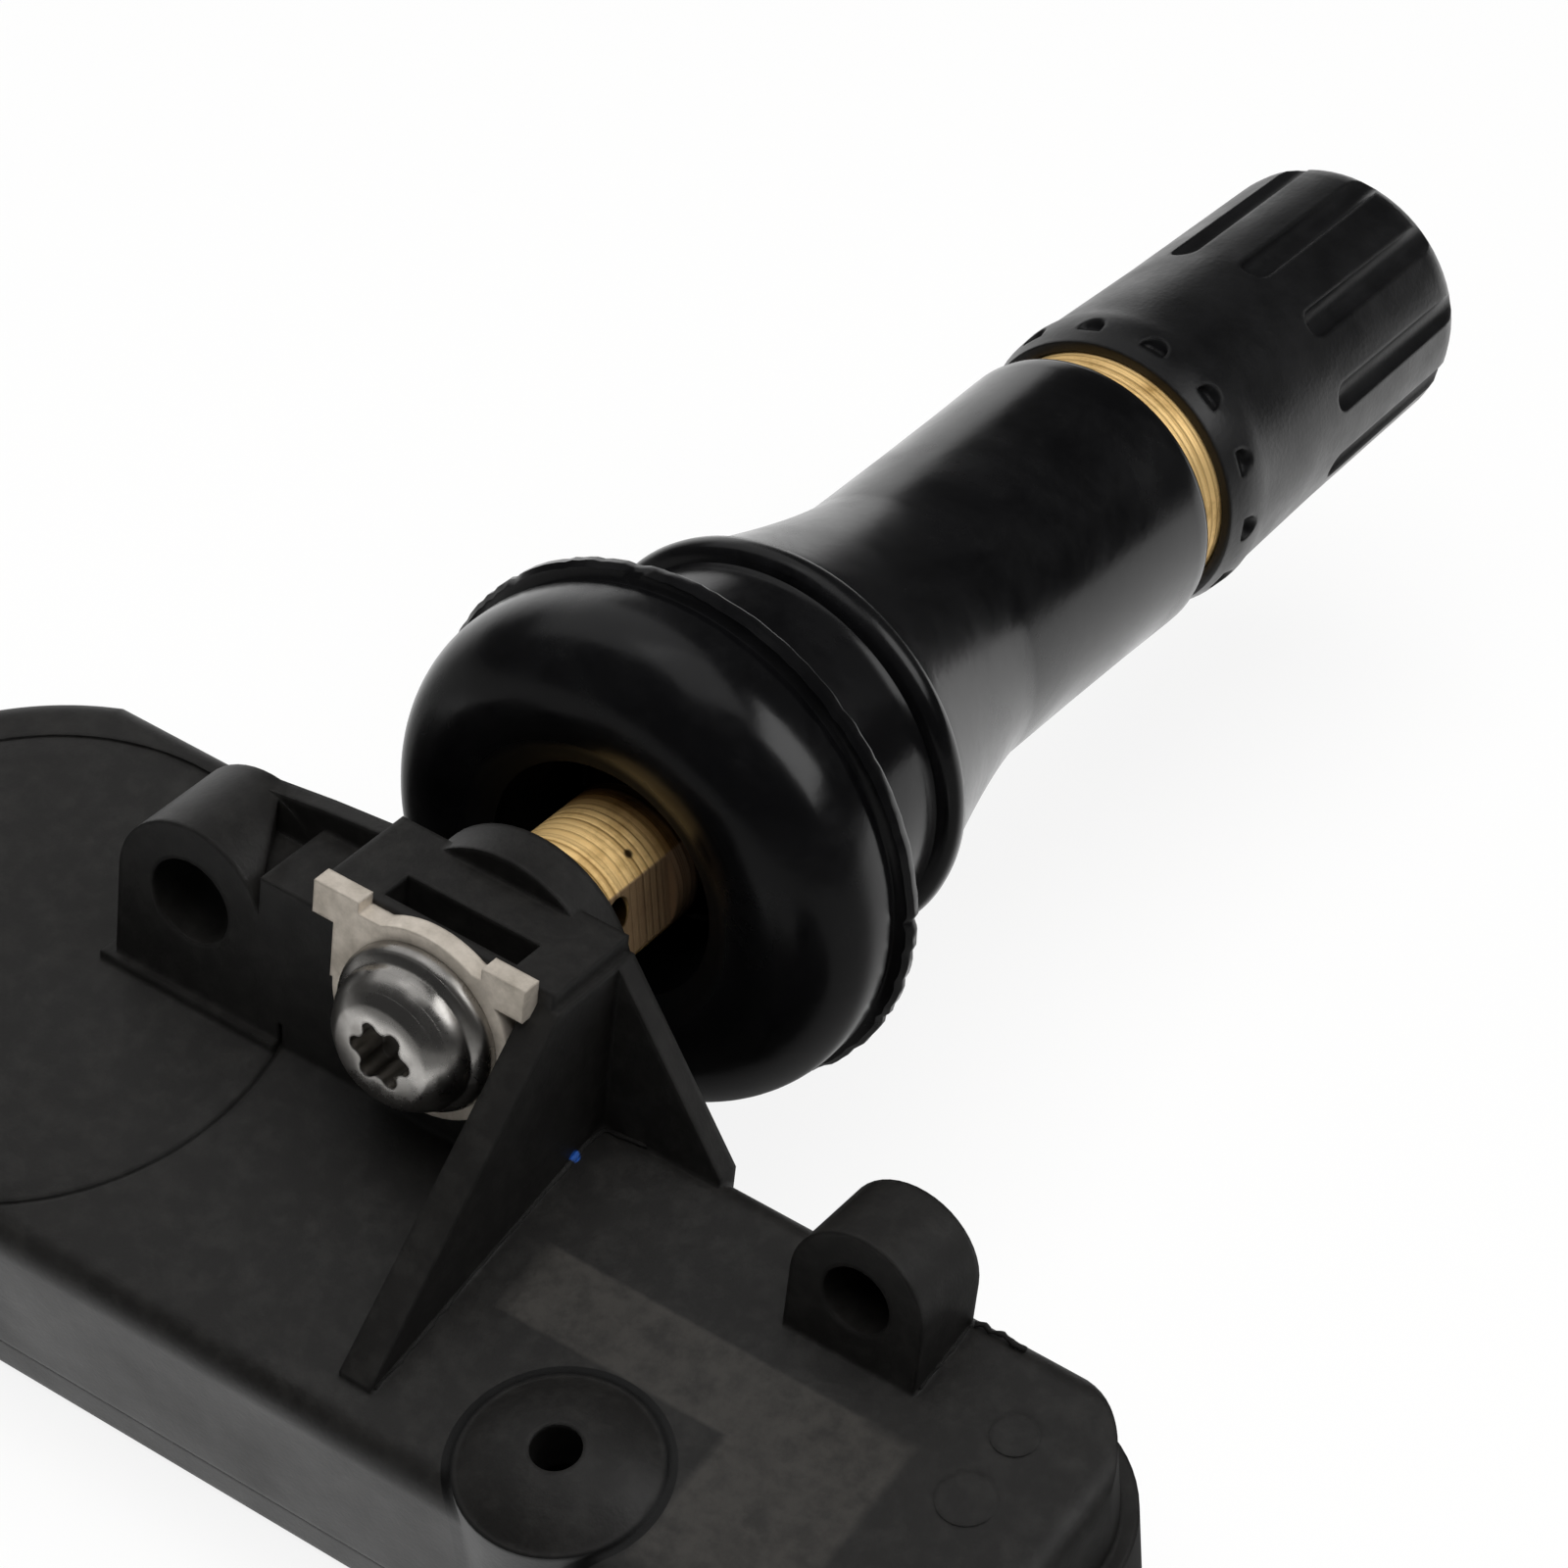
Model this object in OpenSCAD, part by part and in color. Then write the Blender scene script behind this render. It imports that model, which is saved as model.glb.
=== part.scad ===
/* [Valve stem] */
// Radius of the thin flange that bears on the inside of the rim
lip_r = 9.8; // [9.6:0.1:10]
// Radius of the rubber in the groove that the rim hole closes on
groove_r = 6.9; // [6.5:0.1:7.1]
// Radius of the retaining ridge on the outside of the rim
ridge_r = 7.65; // [7.5:0.05:8]
// Distance from the flange to the edge of the retaining ridge
ridge_y = 5.85; // [5.5:0.05:6.2]
// Radius of the rubber neck
neck_r = 5.5; // [5.3:0.05:5.6]
// Distance from the flange to the outer end of the rubber
neck_end = 25.2; // [24.5:0.1:25.8]
// Radius of the brass shoulder that shows between the rubber and the cap
shoulder_r = 4.95; // [4.8:0.05:5]
// Radius of the brass tube that reaches the sensor
tube_r = 2.65; // [2.6:0.05:2.75]

/* [Cap] */
// Radius of the cap at its rim
cap_r = 5.7; // [5.6:0.05:5.8]
// Length of the cap
cap_len = 17.8; // [17.5:0.1:18.2]
// Grip flutes around the cap
flute_count = 11; // [8:1:12]
// Small notches around the rim of the cap
notch_count = 13; // [8:1:14]

/* [Sensor housing] */
// Angle that the housing leans back from the line of the stem
lean = 16; // [14:1:18]
// Distance from the line of the stem down to the top of the housing
top_drop = 1.0; // [0.8:0.1:1.4]
// Thickness of the housing with its cover
body_h = 9.05; // [9:0.05:9.5]
// Thickness of the cover under the seam
cover_h = 2.0; // [1.8:0.1:2.2]
// Wall of the housing
wall = 1.3; // [1.2:0.05:1.35]
// Radius of the round end over the battery
battery_end_r = 11.75; // [11.5:0.05:12]
// Radius on the top edges
edge_r = 1.1; // [0.8:0.1:1.2]
// Radius of the hole in the left lug
left_hole_r = 1.6; // [1.4:0.05:1.7]
// Radius of the hole in the right lug
right_hole_r = 1.25; // [1.1:0.05:1.4]
// Radius of the pressure port
port_r = 0.85; // [0.7:0.05:1]

/* [Hidden] */
$fn = 72;

// The line of the stem is Y, with the outside of the wheel toward +Y and the flange face at zero.
lip_t = 0.7;
crest = [6.3, -2.0];
crest_r = 3.08;
hole_r = 4.05;
hole_y = -2.7;
flare_start = 6.4;
flare_end = 13.7;
flare_steps = 12;

// Brass stem, from its inner end in the bracket to its mouth under the cap
stem_in = -11.45;
collar_y = -1.7;
collar_r = 3.0;
insert_r = 3.85;
shoulder_in = 24.3;
shoulder_out = 28.2;
thread_r = 3.5;
stem_out = 41.4;
passage_r = 1.25;
chamber_y = 27.4;
chamber_r = 1.95;
core_thread_r = 2.65;
core_thread_y = 35.8;
screw_end = -8.3;
flat_angle = 10;
flat_depth = 2.3;
vent_y = -6.5;
vent_r = 0.6;
vent_angle = 24;

// Valve core
slack = 0.03;
barrel_r = 1.7;
barrel_bore = 1.25;
barrel_y = [30.2, 36.2];
plug_y = [36.2, 40.6];
plug_bore = 0.95;
pin_r = 0.5;
pin_y = [27.9, 41.0];
cup_y = [28.7, 30.2];
cup_r = 1.55;
spring_y = [31.1, 35.0];
spring_r = 0.87;
spring_wire = 0.14;
spring_turns = 6;
pin_collar_r = 1.1;

// Cap
cap_y = 26.75;
cap_tip_r = 5.25;
cap_round = 1.8;
cap_bore_r = 3.92;
cap_mouth_r = 5.03;
cap_mouth_y = 28.5;
cap_floor_y = 42.6;
flute_y = 35.2;
flute_r = 0.62;
flute_angle = 18.7;
notch_angle = -0.6;

// Screw and clip
head_y = -16.25;
head_r = 2.6;
head_len = 1.45;
washer_r = 3.05;
washer_t = 0.65;
screw_r = 1.45;
recess_r = 1.2;
recess_depth = 1.2;
clip_y = -14.15;
clip_t = 0.75;
clip_disc_r = 3.55;

// Bracket, in the frame of the stem
front_y = clip_y + clip_t;
back_y = -9.4;
back_wall_t = 0.7;
bracket_top = 3.2;
boss_r = 4.1;
boss_y = -8.2;
rib_x = 4.8;
rib_t = 1.25;
rib_top = 2.6;
rib_foot_y = -22.2;
web_x = 9.45;
web_t = 0.9;
left_lug = [-10.03, -0.9];
left_lug_r = 3;
right_lug = [16.7, -2.35];
right_lug_r = 2.5;
right_lug_back = -10.2;

// Housing, in its own leaning frame: X along it, Y from front to back, Z up
front_v = -25.2;
back_v = -10.35;
battery_back_v = -5.3;
battery_at = [-15.6, -16.2];
battery_cell_r = 8;
battery_h = 3.2;
tab_t = 0.2;
end_x = 26.2;
corner_r = 4.2;
skirt_x = 8.6;
skirt_out = 0.6;
skirt_w = -4.7;
seam_w = -top_drop - body_h + cover_h;
base_w = -top_drop - body_h;
lid_t = 1.2;
port_at = [11.4, -22.3];
port_boss_r = 3.4;
port_dome_h = 1.15;
port_step = 0.12;
groove_disc_r = 9.78;
ejector_marks = [[22.67, -13.7, 0.8], [22.69, -16.43, 1.0]];

// Inside the housing
cell_at = [-15.6, -15.6];
board_w = -6.2;
board_t = 0.8;
board_x = [-3.4, 24.2];
board_v = [-23.4, -12.6];
coil_h = 1.7;

// Turns a shape whose axis is Z so that it runs along the stem, outboard.
module along_stem() {
    rotate([-90, 0, 0]) children();
}

// Puts a shape drawn in the housing's own frame into place.
module leaning() {
    rotate([lean, 0, 0]) children();
}

// A round bar or hole along the stem's direction between two distances from the flange.
module bar(x, z, r, y0, y1) {
    translate([x, y0, z]) along_stem() cylinder(h = y1 - y0, r = r);
}

function flare_r(y) = neck_r + (ridge_r - 0.4 - neck_r) * pow((flare_end - y) / (flare_end - flare_start), 1.35);
function top_z(y) = (-top_drop + y * sin(lean)) / cos(lean);

module rubber_body() {
    flare = [for (i = [0:flare_steps]) let (y = flare_start + (flare_end - flare_start) * i / flare_steps)
        [flare_r(y), y]];
    color("#141414") along_stem() rotate_extrude() difference() {
        polygon(concat(
            [[2.5, 0.2], [hole_r, 0.2], [hole_r, hole_y]],
            [for (a = [235:15:360]) [crest[0] + crest_r * cos(a), crest[1] + crest_r * sin(a)]],
            [[crest[0] + crest_r, -lip_t], [lip_r - 0.15, -lip_t], [lip_r, -lip_t / 2], [lip_r - 0.1, 0],
             [groove_r + 0.3, 0], [groove_r, 0.35], [groove_r + 0.1, ridge_y - 1.2],
             [ridge_r - 0.35, ridge_y - 0.55], [ridge_r, ridge_y - 0.15], [ridge_r, ridge_y + 0.15]],
            flare,
            [[neck_r, neck_end - 5], [neck_r + 0.1, neck_end - 0.5], [neck_r, neck_end - 0.12],
             [neck_r - 0.3, neck_end], [shoulder_r, neck_end], [shoulder_r, shoulder_in], [2.5, shoulder_in]]));
        polygon(insert_profile());
    }
}

// Radii of the brass inside the rubber: a flange, three keying grooves and a plain insert.
function insert_profile() = [
    [0, -6], [collar_r, -6], [collar_r, 1.2], [2.9, 1.6], [2.9, 4],
    [insert_r, 5.4], [insert_r, 9], [insert_r - 0.5, 9.5], [insert_r - 0.5, 10.5], [insert_r, 11],
    [insert_r, 14], [insert_r - 0.5, 14.5], [insert_r - 0.5, 15.5], [insert_r, 16], [insert_r, 19],
    [insert_r - 0.5, 19.5], [insert_r - 0.5, 20.5], [insert_r, 21], [insert_r, shoulder_in], [0, shoulder_in]];

module valve_stem() {
    color("#c9a24a") difference() {
        along_stem() rotate_extrude() polygon([
            [0, stem_in], [tube_r - 0.2, stem_in], [tube_r, stem_in + 0.2], [tube_r, collar_y],
            [collar_r, collar_y + 0.3], [collar_r, 1.2], [2.9, 1.6], [2.9, 4], [insert_r, 5.4], [insert_r, 9],
            [insert_r - 0.5, 9.5], [insert_r - 0.5, 10.5], [insert_r, 11], [insert_r, 14], [insert_r - 0.5, 14.5],
            [insert_r - 0.5, 15.5], [insert_r, 16], [insert_r, 19], [insert_r - 0.5, 19.5],
            [insert_r - 0.5, 20.5], [insert_r, 21], [insert_r, shoulder_in], [shoulder_r, shoulder_in],
            [shoulder_r, shoulder_out - 0.2], [shoulder_r - 0.2, shoulder_out], [thread_r - 0.4, shoulder_out],
            [thread_r - 0.4, shoulder_out + 0.9], [thread_r, shoulder_out + 1.2], [thread_r, stem_out - 0.5],
            [thread_r - 0.5, stem_out], [0, stem_out]]);
        bar(0, 0, screw_r + slack, stem_in - 1, screw_end);
        bar(0, 0, passage_r, screw_end - 1, chamber_y + 1);
        along_stem() rotate_extrude() polygon([
            [0, chamber_y - 0.7], [passage_r, chamber_y - 0.7], [chamber_r, chamber_y],
            [chamber_r, core_thread_y - 0.4], [core_thread_r, core_thread_y], [core_thread_r, stem_out + 1],
            [0, stem_out + 1]]);
        for (side = [0, 180])
            rotate([0, -flat_angle - side, 0])
                translate([flat_depth, stem_in - 1, -tube_r])
                    cube([tube_r, -2.75 - stem_in, 2 * tube_r]);
        rotate([0, -vent_angle, 0]) translate([0, vent_y, 0]) rotate([0, 90, 0]) cylinder(h = tube_r + 1, r = vent_r);
    }
}

module core_plug() {
    color("#d8c27a") difference() {
        bar(0, 0, core_thread_r - slack, plug_y[0], plug_y[1]);
        bar(0, 0, plug_bore, plug_y[0] - 1, plug_y[1] + 1);
        for (side = [-1, 1])
            translate([side * core_thread_r - 0.9, plug_y[1] - 2.6, -core_thread_r])
                cube([1.8, 4, 2 * core_thread_r]);
    }
}

module core_seal() {
    color("#f2f0ea") along_stem() rotate_extrude() polygon([
        [barrel_r, 33.2], [chamber_r - slack, 33.6], [chamber_r - slack, 35.0], [barrel_r, 35.0]]);
}

module core_barrel() {
    color("#c9b46a") along_stem() rotate_extrude() polygon([
        [pin_r + 0.2, barrel_y[0] + 0.9], [barrel_bore, barrel_y[0] + 0.9], [barrel_bore, barrel_y[1]],
        [barrel_r, barrel_y[1]], [barrel_r, barrel_y[0] + 0.3], [barrel_r - 0.3, barrel_y[0]],
        [pin_r + 0.2, barrel_y[0]]]);
}

module core_pin() {
    color("#d6d6d2") {
        bar(0, 0, pin_r, pin_y[0], pin_y[1]);
        bar(0, 0, pin_collar_r, spring_y[1], spring_y[1] + 0.4);
        bar(0, 0, pin_r + 0.25, pin_y[0] - 0.3, cup_y[0]);
    }
}

module core_cup() {
    color("#2b2b2b") along_stem() rotate_extrude() polygon([
        [pin_r, cup_y[0]], [cup_r - 0.25, cup_y[0]], [cup_r, cup_y[0] + 0.4], [cup_r, cup_y[1]], [pin_r, cup_y[1]]]);
}

module core_spring() {
    pitch = (spring_y[1] - spring_y[0] - 2 * spring_wire) / (spring_turns + 0.5);
    tilt = asin(pitch / 4 / spring_r);
    color("#b8bcc0") translate([0, spring_y[0] + spring_wire + pitch / 4, 0]) along_stem()
        for (i = [0:2 * spring_turns])
            translate([0, 0, i * pitch / 2]) rotate([0, 0, i * 180]) rotate([0, tilt, 0])
                rotate_extrude(angle = 180, $fn = 24) translate([spring_r, 0]) circle(r = spring_wire, $fn = 16);
}

module cap() {
    tip = cap_y + cap_len;
    color("#161616") difference() {
        along_stem() rotate_extrude() polygon(concat(
            [[cap_mouth_r, cap_y], [cap_r - 0.28, cap_y], [cap_r - 0.05, cap_y + 0.9], [cap_r, cap_y + 1.7],
             [cap_r - 0.12, cap_y + 2.6], [cap_tip_r + 0.15, flute_y - 0.5]],
            [for (a = [0:15:90]) [cap_tip_r - cap_round + cap_round * cos(a), tip - cap_round + cap_round * sin(a)]],
            [[0, tip], [0, cap_floor_y], [cap_bore_r, cap_floor_y], [cap_bore_r, cap_mouth_y + 0.4],
             [cap_mouth_r, cap_mouth_y]]));
        for (i = [0:flute_count - 1])
            rotate([0, -flute_angle - i * 360 / flute_count, 0])
                translate([cap_tip_r + 0.28, flute_y, 0]) {
                    along_stem() cylinder(h = cap_len, r = flute_r, $fn = 24);
                    sphere(r = flute_r, $fn = 24);
                }
        for (i = [0:notch_count - 1])
            rotate([0, -notch_angle - i * 360 / notch_count, 0])
                translate([cap_r - 0.2, cap_y + 0.8, 0])
                    rotate([0, 0, 28]) rotate([0, 90, 0]) cylinder(h = 1.4, r = 0.52, $fn = 24);
    }
}

module cap_seal() {
    color("#2a2a2a") along_stem() difference() {
        translate([0, 0, cap_floor_y - 0.9]) cylinder(h = 0.9, r = cap_bore_r - slack);
        translate([0, 0, cap_floor_y - 1.9]) cylinder(h = 1.4, r = 1.6);
    }
}

module mounting_screw() {
    seat = clip_y;
    color("#b9bbb8") difference() {
        along_stem() rotate_extrude() polygon([
            [0, head_y], [head_r - 0.85, head_y], [head_r - 0.7, head_y + 0.08], [head_r - 0.3, head_y + 0.45],
            [head_r, head_y + 0.95], [head_r + 0.02, seat - washer_t - 0.1], [head_r + 0.2, seat - washer_t],
            [washer_r - 0.1, seat - washer_t + 0.12], [washer_r, seat - washer_t / 2],
            [washer_r, seat], [screw_r, seat], [screw_r, screw_end - 0.9], [screw_r - 0.4, screw_end - 0.4],
            [0, screw_end - 0.4]]);
        translate([0, head_y - 0.1, 0]) along_stem() linear_extrude(recess_depth + 0.1) six_lobe();
    }
}

// Six round lobes on a core, with round hollows between them.
module six_lobe() {
    lobe_r = recess_r * 0.25;
    difference() {
        union() {
            circle(r = recess_r * 0.82, $fn = 36);
            for (i = [0:5]) rotate(i * 60) translate([recess_r - lobe_r, 0]) circle(r = lobe_r, $fn = 20);
        }
        for (i = [0:5]) rotate(30 + i * 60) translate([recess_r * 0.98, 0]) circle(r = lobe_r, $fn = 20);
    }
}

module retaining_clip() {
    bar_top = 3.05;
    tab_top = 3.5;
    color("#9d9e9a") difference() {
        translate([0, clip_y + clip_t, 0]) rotate([90, 0, 0]) linear_extrude(clip_t) {
            circle(r = clip_disc_r);
            translate([-3.65, 0]) square([5.6, bar_top]);
            translate([-4.5, 2.2]) square([8.4, bar_top - 2.2]);
            translate([-4.5, 2.2]) square([1.8, tab_top - 2.2]);
            translate([2.2, 2.2]) square([1.7, tab_top - 2.2]);
        }
        bar(0, 0, screw_r + 0.15, clip_y - 1, clip_y + clip_t + 1);
    }
}

// Rounds the upper edges of a block that runs along X.
module rounded_section(v0, v1, x0, x1, w0, w1, r) {
    translate([x0, 0, 0]) rotate([90, 0, 90]) linear_extrude(x1 - x0) {
        translate([v0, w0]) square([v1 - v0, w1 - w0 - r]);
        translate([v0 + r, w0]) square([v1 - v0 - 2 * r, w1 - w0]);
        for (v = [v0 + r, v1 - r]) translate([v, w1 - r]) circle(r = r);
    }
}

// The round end: a disc with a rounded edge, cut flat at the front and at the back.
module battery_end(w0, w1, grow, r) {
    disc_r = battery_end_r + grow;
    intersection() {
        translate([battery_at[0], battery_at[1], 0]) rotate_extrude() {
            translate([0, w0]) square([disc_r, w1 - w0 - r]);
            translate([0, w0]) square([disc_r - r, w1 - w0]);
            translate([disc_r - r, w1 - r]) circle(r = r);
        }
        rounded_section(front_v - grow, battery_back_v + grow, -40, 10, w0, w1, r);
    }
}

// The long block over the circuit board, with its right corners rounded in plan.
module board_end(w0, w1, grow, r) {
    x1 = end_x + grow;
    intersection() {
        rounded_section(front_v - grow, back_v + grow, battery_at[0], x1, w0, w1, r);
        translate([0, 0, w0]) linear_extrude(w1 - w0) plan_block(grow);
        translate([0, -5, 0]) rotate([90, 0, 0]) linear_extrude(30) {
            translate([battery_at[0] - 1, w0]) square([x1 - battery_at[0] + 1, w1 - w0 - r]);
            translate([battery_at[0] - 1, w0]) square([x1 - battery_at[0] + 1 - r, w1 - w0]);
            translate([x1 - r, w1 - r]) circle(r = r);
        }
    }
}

module plan_block(grow) {
    c = corner_r + grow;
    v0 = front_v - grow;
    v1 = back_v + grow;
    x1 = end_x + grow;
    translate([battery_at[0], v0]) square([x1 - c - battery_at[0], v1 - v0]);
    translate([x1 - c - 1, v0 + c]) square([c + 1, v1 - v0 - 2 * c]);
    for (v = [v0 + c, v1 - c]) translate([x1 - c, v]) circle(r = c);
}

module plan(grow) {
    intersection() {
        translate(battery_at) circle(r = battery_end_r + grow);
        translate([-40, front_v - grow]) square([60, battery_back_v - front_v + 2 * grow]);
    }
    plan_block(grow);
}

// The skirt: the lower wall stands out round the right end.
module skirt() {
    intersection() {
        translate([0, 0, seam_w]) linear_extrude(skirt_w - seam_w) plan_block(skirt_out);
        translate([skirt_x, front_v, seam_w - 1]) cube([40, 30, 10]);
    }
}

module housing_shell() {
    top_w = -top_drop;
    battery_end(seam_w, top_w, 0, edge_r);
    board_end(seam_w, top_w, 0, edge_r);
    skirt();
    translate([port_at[0], port_at[1], 0]) port_boss();
    for (mark = ejector_marks) translate([mark[0], mark[1], top_w - 0.5]) cylinder(h = 0.54, r = mark[2]);
}

// Round boss with a shallow dome round the pressure port, turned from one outline.
module port_boss() {
    top_w = -top_drop;
    dome_r = (port_boss_r * port_boss_r + port_dome_h * port_dome_h) / (2 * port_dome_h);
    rotate_extrude() {
        translate([0, seam_w]) square([port_boss_r, top_w + port_step - seam_w]);
        intersection() {
            translate([0, top_w + port_dome_h - dome_r]) circle(r = dome_r, $fn = 180);
            translate([0, top_w]) square([port_boss_r, port_dome_h]);
        }
    }
}

module housing_hollow() {
    floor_w = -top_drop - lid_t;
    translate([0, 0, seam_w - 1]) linear_extrude(floor_w - seam_w + 1) {
        translate(cell_at) circle(r = battery_cell_r + 0.15);
        intersection() {
            plan_block(-wall);
            translate([board_x[0] - 0.5, -40]) square([60, 60]);
        }
        translate([-9, cell_at[1] - 5]) square([7, 9]);
    }
}

// The bracket that holds the stem: a wall with a socket, a side rib, a web and the left lug.
module bracket() {
    foot = top_z(front_y) - 1.5;
    translate([-7.2, front_y, foot]) cube([3, back_y - front_y, 1.65 - foot]);
    translate([-4.6, front_y, foot]) cube([rib_x + 4.6 - 0.3, back_y - front_y, bracket_top - foot]);
    translate([0, back_y, 0]) rotate([90, 0, 0]) linear_extrude(back_wall_t)
        polygon([[left_lug[0], foot], [left_lug[0], 2.0], [-7.3, 2.42], [-4.4, 2.75], [-4.4, foot]]);
    bar(0, 0, boss_r, back_y - 0.5, boss_y);
    translate([rib_x, 0, 0]) rotate([90, 0, -90]) linear_extrude(rib_t)
        polygon([[-back_y, foot], [-back_y, rib_top], [-front_y, rib_top],
            [-rib_foot_y, top_z(rib_foot_y) + 0.25], [-rib_foot_y, top_z(rib_foot_y) - 0.6]]);
    translate([0, back_y, 0]) rotate([90, 0, 0]) linear_extrude(web_t)
        polygon([[rib_x - 0.5, rib_top], [rib_x - 0.05, rib_top], [web_x, top_z(back_y)], [web_x, foot],
            [rib_x - 0.5, foot]]);
    bar(left_lug[0], left_lug[1], left_lug_r, front_y, back_y);
    translate([left_lug[0] - left_lug_r, front_y, foot])
        cube([left_lug_r + 3.1, back_y - front_y, left_lug[1] - foot]);
    translate([left_lug[0] - left_lug_r - 0.4, front_y - 0.35, foot]) cube([7.4, 1, top_z(front_y) + 0.25 - foot]);
}

module right_lug_solid() {
    foot = top_z(front_y) - 1.5;
    bar(right_lug[0], right_lug[1], right_lug_r, front_y, right_lug_back);
    translate([right_lug[0] - right_lug_r, front_y, foot])
        cube([2 * right_lug_r, right_lug_back - front_y, right_lug[1] - foot]);
}

module housing() {
    color("#1b1b1b") difference() {
        union() {
            leaning() housing_shell();
            bracket();
            right_lug_solid();
        }
        leaning() housing_hollow();
        bar(0, 0, tube_r + slack, stem_in, boss_y + 1);
        bar(0, 0, screw_r + 0.25, front_y - 1, stem_in + 1);
        bar(left_lug[0], left_lug[1], left_hole_r, front_y - 1, back_y + 1);
        bar(right_lug[0], right_lug[1], right_hole_r, front_y - 1, front_y + 2.4);
        translate([-2.6, front_y + 0.45, 1.85]) cube([5.3, 1.25, 4]);
        leaning() translate([port_at[0], port_at[1], -top_drop - lid_t - 1]) cylinder(h = 6, r = port_r);
        leaning() translate([battery_at[0], battery_at[1], -top_drop - 0.1]) difference() {
            cylinder(h = 1, r = groove_disc_r + 0.07);
            translate([0, 0, -0.5]) cylinder(h = 2, r = groove_disc_r - 0.07);
        }
        pocket();
    }
}

// Three-sided hollow on top, between the left lug and the wall.
module pocket() {
    translate([0, 0, 0.65]) linear_extrude(4) polygon([[-7.55, -12.8], [-7.3, -10.15], [-9.1, -10.15]]);
}

module base_cover() {
    color("#191919") leaning() difference() {
        union() {
            translate([0, 0, base_w + 0.5]) linear_extrude(cover_h - 0.5) plan(0);
            translate([0, 0, base_w]) linear_extrude(cover_h) plan(-0.5);
            intersection() {
                translate([0, 0, base_w + 0.5]) linear_extrude(cover_h - 0.5) plan_block(skirt_out);
                translate([skirt_x, front_v, base_w - 1]) cube([40, 30, 10]);
            }
            translate([0, 0, base_w + 0.5]) linear_extrude(board_w - board_t - base_w - 0.5) intersection() {
                plan_block(-wall - 0.1);
                translate([board_x[0], -40]) square([60, 60]);
            }
        }
        translate([0, 0, base_w + 1.2]) linear_extrude(10) intersection() {
            plan_block(-wall - 1.1);
            translate([board_x[0] + 1, -40]) square([60, 60]);
        }
        translate([board_x[0] - 0.1, -20, seam_w]) cube([2, 8, 10]);
    }
}

module battery_cell() {
    color("#c4c6c4") leaning() translate([cell_at[0], cell_at[1], seam_w + tab_t]) rotate_extrude() polygon([
        [0, 0], [battery_cell_r - 1, 0], [battery_cell_r - 0.8, 0.25], [battery_cell_r - 0.5, 0.25],
        [battery_cell_r - 0.4, 0], [battery_cell_r, 0.4], [battery_cell_r, battery_h - 0.3],
        [battery_cell_r - 0.3, battery_h], [0, battery_h]]);
}

// A flat spring strip that runs from the cell to the board and turns onto it.
module battery_tab(v, w, board_face) {
    reach = board_x[0] + 1.2;
    translate([cell_at[0] - 3, v, w]) cube([reach - cell_at[0] + 3, 3, tab_t]);
    translate([reach - tab_t, v, min(w, board_face)]) cube([tab_t, 3, abs(board_face - w)]);
}

module battery_tab_positive() {
    color("#cfd2d2") leaning() battery_tab(-15, seam_w + tab_t + battery_h, board_w);
}

module battery_tab_negative() {
    color("#cfd2d2") leaning() battery_tab(-18.4, seam_w, board_w - board_t);
}

module circuit_board() {
    color("#1f5a3a") leaning() translate([board_x[0], board_v[0], board_w - board_t]) linear_extrude(board_t)
        difference() {
            square([board_x[1] - board_x[0], board_v[1] - board_v[0]]);
            translate([board_x[1] - board_x[0] - 1.6, 1.6]) circle(r = 0.7, $fn = 24);
            translate([board_x[1] - board_x[0] - 1.6, board_v[1] - board_v[0] - 1.6]) circle(r = 0.7, $fn = 24);
        }
}

module sensor_chip() {
    color("#202020") leaning() difference() {
        translate([port_at[0] - 2.6, port_at[1] - 0.9, board_w]) cube([5.2, 5.2, 2.4]);
        translate([port_at[0], port_at[1] + 0.4, board_w + 1.2]) cylinder(h = 2, r = 1.1);
    }
}

module port_seal() {
    w = board_w + 2.4;
    color("#3a3a3a") leaning() translate([port_at[0], port_at[1] + 0.4, w]) difference() {
        cylinder(h = -top_drop - lid_t - w, r = 1.75);
        translate([0, 0, -1]) cylinder(h = 5, r = 1.25);
    }
}

module coil_core() {
    color("#3b3a3c") leaning() translate([1.2, -16.2, board_w]) {
        translate([0, 0, coil_h - 0.9]) cube([7.6, 1.8, 1.8]);
        for (x = [0, 6.6]) translate([x, -0.5, 0]) cube([1, 2.8, coil_h + 1.2]);
    }
}

module coil_winding() {
    color("#b5713a") leaning() translate([2.4, -15.3, board_w + coil_h]) rotate([0, 90, 0]) difference() {
        cylinder(h = 5.2, r = coil_h - 0.05);
        translate([-0.9, -0.9, -1]) cube([1.8, 1.8, 8]);
    }
}

module rf_antenna() {
    w = board_w;
    color("#c7a25a") leaning() translate([0, 0, w]) {
        translate([18.6, -23, 0]) cube([0.8, 0.8, 3.2]);
        translate([18.6, -13.9, 0]) cube([0.8, 0.8, 3.2]);
        translate([18.6, -23, 2.6]) cube([5.2, 0.8, 0.8]);
        translate([18.6, -13.9, 2.6]) cube([5.2, 0.8, 0.8]);
        translate([23, -23, 2.6]) cube([0.8, 9.9, 0.8]);
    }
}

module crystal() {
    color("#c8cacb") leaning() translate([-0.8, -21.8, board_w]) cube([3.2, 2.5, 0.9]);
}

module radio_chip() {
    color("#222222") leaning() translate([11.2, -16.8, board_w]) difference() {
        cube([4, 4, 0.95]);
        translate([0.6, 3.4, 0.85]) cylinder(h = 1, r = 0.25, $fn = 16);
    }
}

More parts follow.
